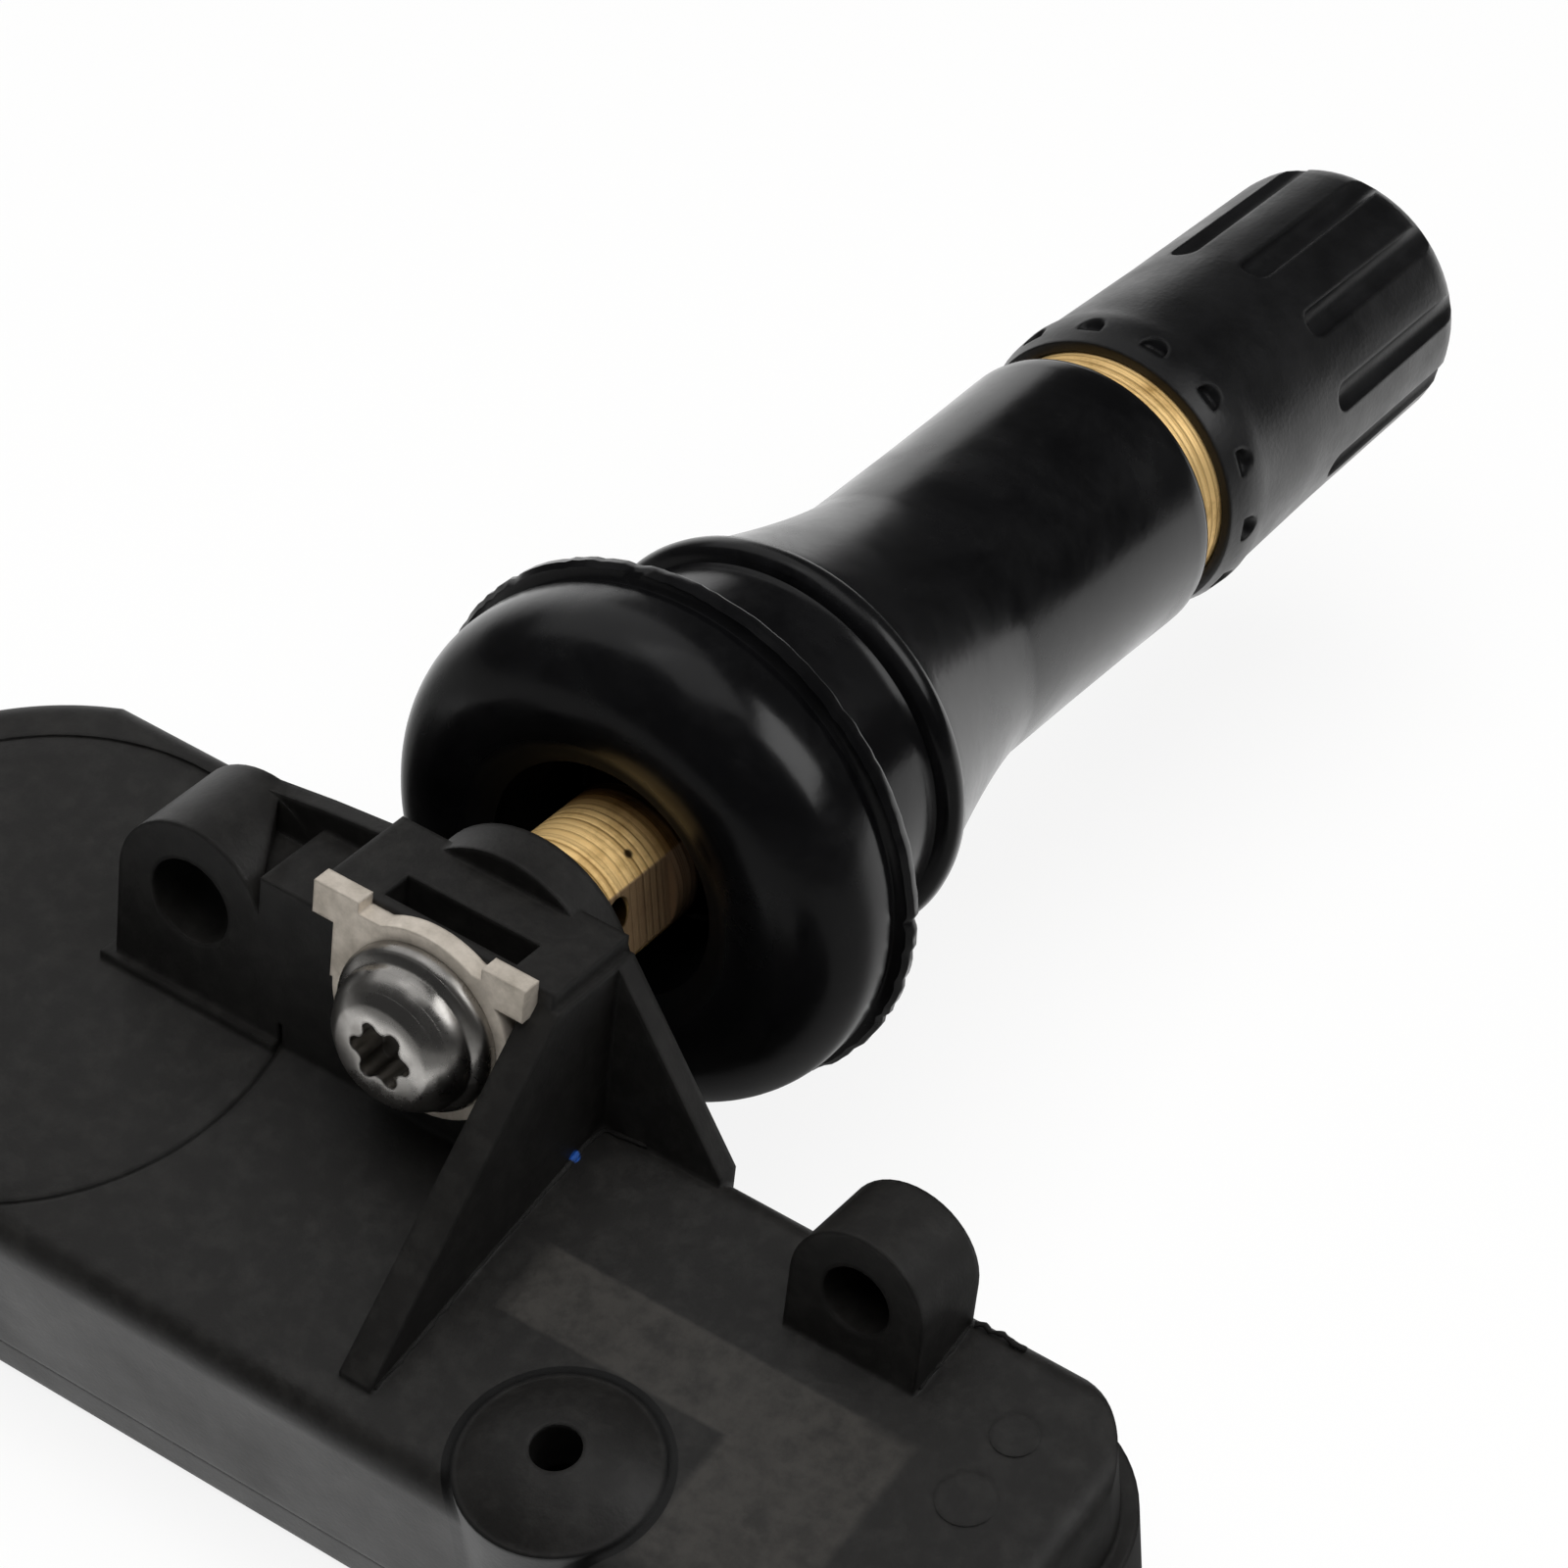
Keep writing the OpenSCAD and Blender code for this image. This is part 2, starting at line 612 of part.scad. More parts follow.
module chip_parts() {
    color("#9a8468") leaning() translate([0, 0, board_w]) {
        for (i = [0:3]) translate([3.9 + i * 1.1, -22.6, 0]) cube([0.8, 1.6, 0.7]);
        for (i = [0:2]) translate([16.3, -17.2 + i * 1.4, 0]) cube([1.6, 0.8, 0.6]);
    }
}

rubber_body();
valve_stem();
core_plug();
core_seal();
core_barrel();
core_pin();
core_cup();
core_spring();
cap();
cap_seal();
mounting_screw();
retaining_clip();
housing();
base_cover();
circuit_board();
battery_cell();
battery_tab_positive();
battery_tab_negative();
sensor_chip();
port_seal();
coil_core();
coil_winding();
rf_antenna();
crystal();
radio_chip();
chip_parts();
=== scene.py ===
"""Looks of a tyre pressure sensor: a snap-in rubber valve stem screwed to a leaning plastic housing.

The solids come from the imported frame. Lengths in the settings are in millimetres of the real part and
are turned to metres where a piece is made. The stem runs along Y, with the outside of the wheel at +Y.
"""

import math

import bmesh
import bpy
from mathutils import Matrix, Vector, noise


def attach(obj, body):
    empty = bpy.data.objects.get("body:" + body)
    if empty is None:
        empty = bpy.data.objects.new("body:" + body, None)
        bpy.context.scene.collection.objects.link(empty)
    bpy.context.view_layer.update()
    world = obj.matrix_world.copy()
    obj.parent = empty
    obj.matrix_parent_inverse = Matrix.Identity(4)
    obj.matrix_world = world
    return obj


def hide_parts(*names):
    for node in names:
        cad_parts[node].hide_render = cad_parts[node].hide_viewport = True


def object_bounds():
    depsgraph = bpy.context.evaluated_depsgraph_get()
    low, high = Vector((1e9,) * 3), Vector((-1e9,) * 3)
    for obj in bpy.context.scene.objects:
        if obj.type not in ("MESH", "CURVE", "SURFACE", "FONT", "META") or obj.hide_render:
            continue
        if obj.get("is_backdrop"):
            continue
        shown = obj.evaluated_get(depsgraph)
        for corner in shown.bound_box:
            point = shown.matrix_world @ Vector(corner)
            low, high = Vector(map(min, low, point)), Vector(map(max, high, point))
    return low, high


bl_info = {
    "name": "Tyre Pressure Sensor Looks",
    "version": (1, 0, 0),
    "blender": (4, 5, 0),
    "location": "3D View > Sidebar > Sensor",
    "description": "Finishes a snap-in valve stem with its pressure sensor housing",
    "category": "Object",
}

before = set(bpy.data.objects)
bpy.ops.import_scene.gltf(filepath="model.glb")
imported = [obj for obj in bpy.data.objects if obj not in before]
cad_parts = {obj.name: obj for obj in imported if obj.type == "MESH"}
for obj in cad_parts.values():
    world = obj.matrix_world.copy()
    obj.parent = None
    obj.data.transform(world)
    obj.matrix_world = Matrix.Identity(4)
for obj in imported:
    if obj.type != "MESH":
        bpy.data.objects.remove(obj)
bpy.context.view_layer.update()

MM = 0.001
SENSOR = "sensor"
STEM_AXIS = Vector((0.0, 1.0, 0.0))

# The housing's top leans back about X. Its height in millimetres is measured square to it, from the origin.
LEAN = math.radians(16.0)
TOP_HEIGHT = -1.0

# The flat milled on the brass tube: where it faces, its distance from the stem's line, and the place along
# the stem where the rubber hides it, in millimetres.
FLAT_SIDE = (0.985, 0.0, 0.174)
FLAT_DEPTH = 2.3
FLAT_END = -2.7

# Two fixed directions for the white ground and the world: level past the far side of the stem, and up to
# the right.
BEHIND = (-0.174, 0.985, 0.0)
UP_RIGHT = (1.0, 0.0, 1.0)

# The point that the lamps face.
MIDDLE = Vector((0.0, 0.005, 0.0))

# Points that are closer than this, in metres, are one point: on a carried-over solid and on a new piece.
WELD_DISTANCE = 0.000002
MERGE_DISTANCE = 1e-7


class StemSettings(bpy.types.PropertyGroup):
    """Sizes of the rubber stem and its brass thread."""

    lip_radius: bpy.props.FloatProperty(
        name="Flange Radius",
        description="Radius of the thin flange inside the rim, in millimetres",
        default=9.8,
        min=9.0,
        max=10.5,
    )
    lip_wear: bpy.props.FloatProperty(
        name="Flange Wear",
        description="How far the moulded edge of the flange is nicked, in millimetres",
        default=0.14,
        min=0.0,
        max=0.4,
    )
    thread_pitch: bpy.props.FloatProperty(
        name="Thread Pitch",
        description="Rise of the valve thread for each turn, in millimetres",
        default=0.794,
        min=0.5,
        max=1.2,
    )
    thread_radius: bpy.props.FloatProperty(
        name="Thread Radius",
        description="Radius over the valve thread's crests, in millimetres",
        default=3.84,
        min=3.5,
        max=4.0,
    )


class FinishSettings(bpy.types.PropertyGroup):
    """Colours of the finishes, as sRGB hex values, and the softness of the moulded edges."""

    housing: bpy.props.StringProperty(
        name="Housing", description="Moulded nylon of the housing, as an sRGB hex value", default="#131211"
    )
    rubber: bpy.props.StringProperty(
        name="Rubber", description="Cured rubber of the stem, as an sRGB hex value", default="#060607"
    )
    cap: bpy.props.StringProperty(
        name="Cap", description="Moulded cap, as an sRGB hex value", default="#0a0a0b"
    )
    brass: bpy.props.StringProperty(
        name="Brass", description="Turned brass, as an sRGB hex value", default="#f6d08e"
    )
    steel: bpy.props.StringProperty(
        name="Steel", description="Turned steel of the screw, as an sRGB hex value", default="#bdbab6"
    )
    edge: bpy.props.FloatProperty(
        name="Edge Radius",
        description="Radius that the moulded edges seem to have, in millimetres",
        default=0.28,
        min=0.0,
        max=0.6,
    )


class StageSettings(bpy.types.PropertyGroup):
    """Lens, lamps and floor."""

    focal_length: bpy.props.FloatProperty(
        name="Focal Length",
        description="Length of the camera's lens, in millimetres",
        default=135.0,
        min=50.0,
        max=200.0,
        unit="CAMERA",
    )
    top_power: bpy.props.FloatProperty(
        name="Top Lamp",
        description="Power of the large soft lamp over the part, in watts",
        default=3.5,
        min=0.0,
        unit="POWER",
    )
    sheen_power: bpy.props.FloatProperty(
        name="Sheen Lamp",
        description="Power of the right-hand lamp that the metal reflects, in watts",
        default=0.85,
        min=0.0,
        unit="POWER",
    )
    left_power: bpy.props.FloatProperty(
        name="Left Lamp",
        description="Power of the soft lamp on the left, in watts",
        default=0.56,
        min=0.0,
        unit="POWER",
    )
    high_power: bpy.props.FloatProperty(
        name="High Lamp",
        description="Power of the lamp straight overhead that the brass reflects, in watts",
        default=0.3,
        min=0.0,
        unit="POWER",
    )
    floor_size: bpy.props.FloatProperty(
        name="Floor Size", description="Width of the pale floor", default=3.0, min=1.0, unit="LENGTH"
    )


def linear(hex_value):
    """An sRGB hex value as linear RGBA."""
    parts = [int(hex_value[i : i + 2], 16) / 255.0 for i in (1, 3, 5)]
    return [p / 12.92 if p <= 0.04045 else ((p + 0.055) / 1.055) ** 2.4 for p in parts] + [1.0]


def per_mm(size):
    """The scale of a pattern on Object coordinates whose features are that many millimetres apart."""
    return 1.0 / (size * MM)


def add(tree, kind, values=None, links=None, stops=(), **settings):
    """Adds one node: its settings, the values and links of its sockets, and a ramp's coloured stops. A Mix
    node's inputs go by number: 0 is the share, 2 and 3 are its numbers, and 6 and 7 are its colours. Its
    output is 0 for a number and 2 for a colour."""
    made = tree.nodes.new(kind)
    for key, value in settings.items():
        setattr(made, key, value)
    for key, value in (values or {}).items():
        made.inputs[key].default_value = value
    for key, source in (links or {}).items():
        tree.links.new(source, made.inputs[key])
    if stops:
        elements = made.color_ramp.elements
        elements.remove(elements[1])
        elements[0].position = stops[0][0]
        elements[0].color = linear(stops[0][1])
        for place, tone in stops[1:]:
            elements.new(place).color = linear(tone)
    return made


def surface(name, rough, metallic=0.0, ior=1.5):
    """A new material: returns it with its tree, its shader and the part's own coordinates."""
    made = bpy.data.materials.new(name)
    made.use_nodes = True
    tree = made.node_tree
    tree.nodes.clear()
    shader = add(tree, "ShaderNodeBsdfPrincipled", {"Metallic": metallic, "Roughness": rough, "IOR": ior})
    add(tree, "ShaderNodeOutputMaterial", links={"Surface": shader.outputs["BSDF"]})
    place = add(tree, "ShaderNodeTexCoord").outputs["Object"]
    return made, tree, shader, place


def spot(tree, place, centre, radius, soft):
    """1 within a radius of a point, in millimetres, falling to 0 over the soft distance."""
    away = add(
        tree, "ShaderNodeVectorMath", {1: [c * MM for c in centre]}, {0: place}, operation="DISTANCE"
    ).outputs["Value"]
    limits = {"From Min": radius * MM, "From Max": (radius + soft) * MM, "To Min": 1.0, "To Max": 0.0}
    return add(
        tree, "ShaderNodeMapRange", limits, {"Value": away}, interpolation_type="SMOOTHSTEP"
    ).outputs["Result"]


def on_top(x, v, lift=0.0):
    """A point on the leaning top, from the housing's own millimetres, as metres in the part's frame."""
    return Matrix.Rotation(LEAN, 3, "X") @ Vector((x, v, TOP_HEIGHT + lift)) * MM


def panel(tree, place, centre, half, soft):
    """1 inside a rectangle on the leaning top, given in the housing's own millimetres, and 0 outside it."""
    sizes = {
        "Location": on_top(*centre),
        "Rotation": (LEAN, 0.0, 0.0),
        "Scale": (half[0] * MM, half[1] * MM, 1.0),
    }
    local = add(tree, "ShaderNodeMapping", sizes, {"Vector": place}, vector_type="TEXTURE")
    folded = add(tree, "ShaderNodeVectorMath", links={0: local.outputs["Vector"]}, operation="ABSOLUTE")
    split = add(tree, "ShaderNodeSeparateXYZ", links={"Vector": folded.outputs["Vector"]})
    far = add(
        tree, "ShaderNodeMath", links={0: split.outputs["X"], 1: split.outputs["Y"]}, operation="MAXIMUM"
    )
    limits = {"From Min": 1.0 - soft, "From Max": 1.0, "To Min": 1.0, "To Max": 0.0}
    return add(tree, "ShaderNodeMapRange", limits, {"Value": far.outputs["Value"]}).outputs["Result"]


def round_line(tree, place, centre, radius):
    """Distance from an axis that stands on the leaning top, as a share of a radius in millimetres. The
    height is flattened out of it by a scale far past the part's size."""
    sizes = {
        "Location": on_top(*centre),
        "Rotation": (LEAN, 0.0, 0.0),
        "Scale": (radius * MM, radius * MM, 1000.0),
    }
    local = add(tree, "ShaderNodeMapping", sizes, {"Vector": place}, vector_type="TEXTURE")
    return add(
        tree, "ShaderNodeVectorMath", links={0: local.outputs["Vector"]}, operation="LENGTH"
    ).outputs["Value"]


def glass_filled_nylon(name, hex_value, edge):
    """Glass-filled nylon: nearly black, with the fine grain of a spark-eroded mould that spreads each
    highlight, slow glossier patches where the melt set, a paler rubbed panel, a dark line round the
    port, a soft step round the battery and one blue fibre speck."""
    made, tree, shader, place = surface(name, 0.5, ior=1.46)
    # The real grain is about 0.04 mm across, too fine to show, so it is drawn at 0.17 mm.
    grain = add(
        tree,
        "ShaderNodeTexNoise",
        {"Scale": per_mm(0.17), "Detail": 3.0, "Roughness": 0.6},
        {"Vector": place},
    )
    flow = add(
        tree,
        "ShaderNodeTexNoise",
        {"Scale": per_mm(6.0), "Detail": 5.0, "Roughness": 0.6},
        {"Vector": place},
    )
    dust = add(
        tree,
        "ShaderNodeTexNoise",
        {"Scale": per_mm(0.9), "Detail": 7.0, "Roughness": 0.72},
        {"Vector": place},
    )
    tone = add(
        tree,
        "ShaderNodeValToRGB",
        links={"Fac": flow.outputs["Fac"]},
        stops=[(0.32, hex_value), (0.72, "#191817")],
    )
    speckle = add(
        tree,
        "ShaderNodeMapRange",
        {"From Min": 0.45, "From Max": 0.75, "To Max": 0.55},
        {"Value": dust.outputs["Fac"]},
    )
    dusty = add(
        tree,
        "ShaderNodeMix",
        {7: linear("#292826")},
        {0: speckle.outputs["Result"], 6: tone.outputs["Color"]},
        data_type="RGBA",
    )
    long_part = panel(tree, place, (12.4, -17.15), (6.4, 1.5), 0.1)
    wide_part = panel(tree, place, (17.7, -19.8), (2.8, 4.2), 0.12)
    rubbed = add(tree, "ShaderNodeMath", links={0: long_part, 1: wide_part}, operation="MAXIMUM")
    uneven = add(
        tree,
        "ShaderNodeMapRange",
        {"From Min": 0.35, "From Max": 0.6, "To Min": 0.35, "To Max": 1.0},
        {"Value": dust.outputs["Fac"]},
    )
    worn = add(
        tree,
        "ShaderNodeMath",
        links={0: rubbed.outputs["Value"], 1: uneven.outputs["Result"]},
        operation="MULTIPLY",
    )
    pale = add(
        tree,
        "ShaderNodeMix",
        {7: linear("#2f2d2a")},
        {0: worn.outputs["Value"], 6: dusty.outputs[2]},
        data_type="RGBA",
    )
    port = round_line(tree, place, (11.4, -22.3), 3.5)
    ring = add(
        tree,
        "ShaderNodeValToRGB",
        links={"Fac": port},
        stops=[(0.93, "#ffffff"), (0.965, "#4a4a4a"), (0.99, "#4a4a4a")],
    )
    ringed = add(
        tree,
        "ShaderNodeMix",
        {0: 1.0},
        {6: pale.outputs[2], 7: ring.outputs["Color"]},
        data_type="RGBA",
        blend_type="MULTIPLY",
    )
    inside = add(tree, "ShaderNodeMath", {1: 1.06}, {0: port}, operation="LESS_THAN")
    lined = add(
        tree,
        "ShaderNodeMix",
        links={0: inside.outputs["Value"], 6: pale.outputs[2], 7: ringed.outputs[2]},
        data_type="RGBA",
    )
    blue = spot(tree, place, (4.8, -11.85, -4.4), 0.18, 0.08)
    final = add(
        tree, "ShaderNodeMix", {7: linear("#1d4f9c")}, {0: blue, 6: lined.outputs[2]}, data_type="RGBA"
    )
    tree.links.new(final.outputs[2], shader.inputs["Base Color"])
    sheen = add(
        tree,
        "ShaderNodeMapRange",
        {"From Min": 0.3, "From Max": 0.7, "To Min": 0.44, "To Max": 0.6},
        {"Value": flow.outputs["Fac"]},
    )
    tree.links.new(sheen.outputs["Result"], shader.inputs["Roughness"])
    battery = round_line(tree, place, (-15.6, -16.2), 9.8)
    step = add(
        tree,
        "ShaderNodeMapRange",
        {"From Min": 0.9, "From Max": 1.03, "To Min": 1.0, "To Max": 0.0},
        {"Value": battery},
        interpolation_type="SMOOTHSTEP",
    )
    rounded = add(tree, "ShaderNodeBevel", {"Radius": edge * MM}, samples=4)
    soft_step = add(
        tree,
        "ShaderNodeBump",
        {"Strength": 1.0, "Distance": 0.22 * MM},
        {"Height": step.outputs["Result"], "Normal": rounded.outputs["Normal"]},
    )
    texture = add(
        tree,
        "ShaderNodeBump",
        {"Strength": 0.35, "Distance": 0.03 * MM},
        {"Height": grain.outputs["Fac"], "Normal": soft_step.outputs["Normal"]},
    )
    tree.links.new(texture.outputs["Normal"], shader.inputs["Normal"])
    return made


def cured_rubber(name, hex_value):
    """Cured rubber from a polished mould: deep black and glossy, so it mirrors the white ground low on its
    sides, with a faint grey bloom in cloudy patches, very fine pits and a matt rim round the brass."""
    made, tree, shader, place = surface(name, 0.24, ior=1.47)
    bloom = add(
        tree,
        "ShaderNodeTexNoise",
        {"Scale": per_mm(4.5), "Detail": 6.0, "Roughness": 0.65, "Distortion": 0.5},
        {"Vector": place},
    )
    # The real pits are about 0.1 mm apart, too fine to show, so they are drawn at 0.5 mm.
    pits = add(
        tree,
        "ShaderNodeTexNoise",
        {"Scale": per_mm(0.5), "Detail": 4.0, "Roughness": 0.6},
        {"Vector": place},
    )
    smudge = add(
        tree,
        "ShaderNodeTexNoise",
        {"Scale": per_mm(1.1), "Detail": 8.0, "Roughness": 0.75},
        {"Vector": place},
    )
    powder = add(
        tree,
        "ShaderNodeMapRange",
        {"From Min": 0.55, "From Max": 0.8, "To Max": 0.3},
        {"Value": smudge.outputs["Fac"]},
    )
    tone = add(
        tree,
        "ShaderNodeValToRGB",
        links={"Fac": bloom.outputs["Fac"]},
        stops=[(0.42, hex_value), (0.8, "#121213")],
    )
    dusty = add(
        tree,
        "ShaderNodeMix",
        {7: linear("#1f1f1f")},
        {0: powder.outputs["Result"], 6: tone.outputs["Color"]},
        data_type="RGBA",
    )
    tree.links.new(dusty.outputs[2], shader.inputs["Base Color"])
    sheen = add(
        tree,
        "ShaderNodeMapRange",
        {"From Min": 0.3, "From Max": 0.75, "To Min": 0.15, "To Max": 0.33},
        {"Value": bloom.outputs["Fac"]},
    )
    matt = spot(tree, place, (0.0, -4.4, 0.0), 5.0, 0.6)
    dull = add(
        tree,
        "ShaderNodeMath",
        {1: 0.6},
        {0: matt, 2: sheen.outputs["Result"]},
        operation="MULTIPLY_ADD",
    )
    tree.links.new(dull.outputs["Value"], shader.inputs["Roughness"])
    bump = add(
        tree,
        "ShaderNodeBump",
        {"Strength": 0.15, "Distance": 0.03 * MM},
        {"Height": pits.outputs["Fac"]},
    )
    tree.links.new(bump.outputs["Normal"], shader.inputs["Normal"])
    return made


def moulded_cap(name, hex_value, edge):
    """Moulded polypropylene cap: black satin with an even grain, a little paler where fingers rubbed it."""
    made, tree, shader, place = surface(name, 0.38, ior=1.49)
    # The real grain is about 0.05 mm across, too fine to show, so it is drawn at 0.2 mm.
    grain = add(
        tree,
        "ShaderNodeTexNoise",
        {"Scale": per_mm(0.2), "Detail": 2.0, "Roughness": 0.5},
        {"Vector": place},
    )
    wear = add(
        tree,
        "ShaderNodeTexNoise",
        {"Scale": per_mm(2.6), "Detail": 6.0, "Roughness": 0.65},
        {"Vector": place},
    )
    tone = add(
        tree,
        "ShaderNodeValToRGB",
        links={"Fac": wear.outputs["Fac"]},
        stops=[(0.38, hex_value), (0.75, "#131314")],
    )
    tree.links.new(tone.outputs["Color"], shader.inputs["Base Color"])
    sheen = add(
        tree,
        "ShaderNodeMapRange",
        {"From Min": 0.3, "From Max": 0.7, "To Min": 0.3, "To Max": 0.46},
        {"Value": wear.outputs["Fac"]},
    )
    tree.links.new(sheen.outputs["Result"], shader.inputs["Roughness"])
    rounded = add(tree, "ShaderNodeBevel", {"Radius": edge * MM}, samples=4)
    bump = add(
        tree,
        "ShaderNodeBump",
        {"Strength": 0.3, "Distance": 0.03 * MM},
        {"Height": grain.outputs["Fac"], "Normal": rounded.outputs["Normal"]},
    )
    tree.links.new(bump.outputs["Normal"], shader.inputs["Normal"])
    return made


def turned_metal(
    name, hex_value, stain, rough, pitch, depth, ring_end=None, metallic=1.0, groove_shade_share=0.0
):
    """Metal turned on a lathe about the stem's line: rings from the tool's feed, with brown stains and a
    dark pit. With a groove share, a thin darker band in each ring is painted shade in the ring's groove.
    Where ring_end is given the metal is the stem's own: its rings are strong only up to there and near the
    cap, it is painted dark inside the rubber as painted shade in the hole, and its milled flat is painted
    brown as painted shade. The wall of the vent hole is painted dark as painted shade.

    The pitch and the depth of the rings are in millimetres. The real feed is about 0.1 mm, too fine to
    show, so the rings are drawn two to four times as wide."""
    made, tree, shader, place = surface(name, rough, metallic)
    split = add(tree, "ShaderNodeSeparateXYZ", links={"Vector": place})
    along = split.outputs["Y"]
    turns = add(tree, "ShaderNodeMath", {1: per_mm(pitch)}, {0: along}, operation="MULTIPLY")
    rings = add(tree, "ShaderNodeMath", links={0: turns.outputs["Value"]}, operation="FRACT")
    uneven = add(
        tree,
        "ShaderNodeTexNoise",
        {"Scale": 1.3, "Detail": 3.0},
        {"W": turns.outputs["Value"]},
        noise_dimensions="1D",
    )
    height = add(
        tree,
        "ShaderNodeMath",
        links={0: rings.outputs["Value"], 1: uneven.outputs["Fac"]},
        operation="MULTIPLY",
    )
    if ring_end is not None:
        fade = add(
            tree,
            "ShaderNodeMapRange",
            {"From Min": (ring_end - 0.3) * MM, "From Max": ring_end * MM, "To Min": 1.0, "To Max": 0.08},
            {"Value": along},
        )
        again = add(
            tree,
            "ShaderNodeMapRange",
            {"From Min": 20.0 * MM, "From Max": 21.0 * MM, "To Max": 0.8},
            {"Value": along},
        )
        share = add(
            tree,
            "ShaderNodeMath",
            links={0: fade.outputs["Result"], 1: again.outputs["Result"]},
            operation="MAXIMUM",
        )
        height = add(
            tree,
            "ShaderNodeMath",
            links={0: height.outputs["Value"], 1: share.outputs["Value"]},
            operation="MULTIPLY",
        )
    patch = add(
        tree,
        "ShaderNodeTexNoise",
        {"Scale": per_mm(1.9), "Detail": 6.0, "Roughness": 0.65},
        {"Vector": place},
    )
    tone = add(
        tree,
        "ShaderNodeValToRGB",
        links={"Fac": patch.outputs["Fac"]},
        stops=[(0.5, hex_value), (0.74, stain)],
    )
    # Painted shade: a thin darker band in each ring where its groove lies, mixed in by the groove shade
    # share.
    groove = add(
        tree,
        "ShaderNodeValToRGB",
        links={"Fac": rings.outputs["Value"]},
        stops=[(0.0, "#ffffff"), (0.6, "#f6f2ea"), (0.85, "#a8977c"), (1.0, "#e6dcc8")],
    )
    groove_shade = add(
        tree,
        "ShaderNodeMapRange",
        {"From Min": 0.4, "From Max": 0.62, "To Max": groove_shade_share},
        {"Value": uneven.outputs["Fac"]},
    )
    lined = add(
        tree,
        "ShaderNodeMix",
        links={0: groove_shade.outputs["Result"], 6: tone.outputs["Color"], 7: groove.outputs["Color"]},
        data_type="RGBA",
        blend_type="MULTIPLY",
    )
    if ring_end is None:
        metal_colour = lined
    else:
        # Painted shade: the stem's metal is painted dark from just inside the rubber's hole, and bright
        # again near the cap.
        depth_in = add(
            tree, "ShaderNodeMapRange", {"From Min": -6.0 * MM, "From Max": 24.0 * MM}, {"Value": along}
        )
        hole_shade = add(
            tree,
            "ShaderNodeValToRGB",
            links={"Fac": depth_in.outputs["Result"]},
            stops=[
                (0.04, "#ffffff"),
                (0.085, "#8c7a66"),
                (0.125, "#2a2018"),
                (0.6, "#2a2018"),
                (0.8, "#ffffff"),
            ],
        )
        hole_shaded = add(
            tree,
            "ShaderNodeMix",
            {0: 1.0},
            {6: lined.outputs[2], 7: hole_shade.outputs["Color"]},
            data_type="RGBA",
            blend_type="MULTIPLY",
        )
        # The milled flat is painted brown: painted shade on the side of the tube that the light misses.
        across = add(tree, "ShaderNodeVectorMath", {1: FLAT_SIDE}, {0: place}, operation="DOT_PRODUCT")
        milled = add(
            tree,
            "ShaderNodeMapRange",
            {"From Min": (FLAT_DEPTH - 0.05) * MM, "From Max": (FLAT_DEPTH - 0.01) * MM, "To Max": 0.85},
            {"Value": across.outputs["Value"]},
        )
        outside = add(tree, "ShaderNodeMath", {1: FLAT_END * MM}, {0: along}, operation="LESS_THAN")
        brown = add(
            tree,
            "ShaderNodeMath",
            links={0: milled.outputs["Result"], 1: outside.outputs["Value"]},
            operation="MULTIPLY",
        )
        metal_colour = add(
            tree,
            "ShaderNodeMix",
            {7: linear("#8a7058")},
            {0: brown.outputs["Value"], 6: hole_shaded.outputs[2]},
            data_type="RGBA",
        )
    # One dark pit on top of the tube, and painted shade on the wall of the vent hole that crosses it.
    pit = spot(tree, place, (1.4, -5.07, 2.25), 0.1, 0.12)
    vent = spot(tree, place, (1.46, -6.5, 0.65), 0.84, 0.1)
    dark = add(tree, "ShaderNodeMath", links={0: pit, 1: vent}, operation="MAXIMUM")
    pit_and_vent_shade = add(
        tree,
        "ShaderNodeMix",
        {7: linear("#33240f")},
        {0: dark.outputs["Value"], 6: metal_colour.outputs[2]},
        data_type="RGBA",
    )
    tree.links.new(pit_and_vent_shade.outputs[2], shader.inputs["Base Color"])
    sheen = add(
        tree,
        "ShaderNodeMapRange",
        {"From Min": 0.35, "From Max": 0.75, "To Min": rough - 0.06, "To Max": rough + 0.18},
        {"Value": patch.outputs["Fac"]},
    )
    tree.links.new(sheen.outputs["Result"], shader.inputs["Roughness"])
    rounded = add(tree, "ShaderNodeBevel", {"Radius": 0.12 * MM}, samples=4)
    bump = add(
        tree,
        "ShaderNodeBump",
        {"Strength": 1.0, "Distance": depth * MM},
        {"Height": height.outputs["Value"], "Normal": rounded.outputs["Normal"]},
    )
    tree.links.new(bump.outputs["Normal"], shader.inputs["Normal"])
    return made


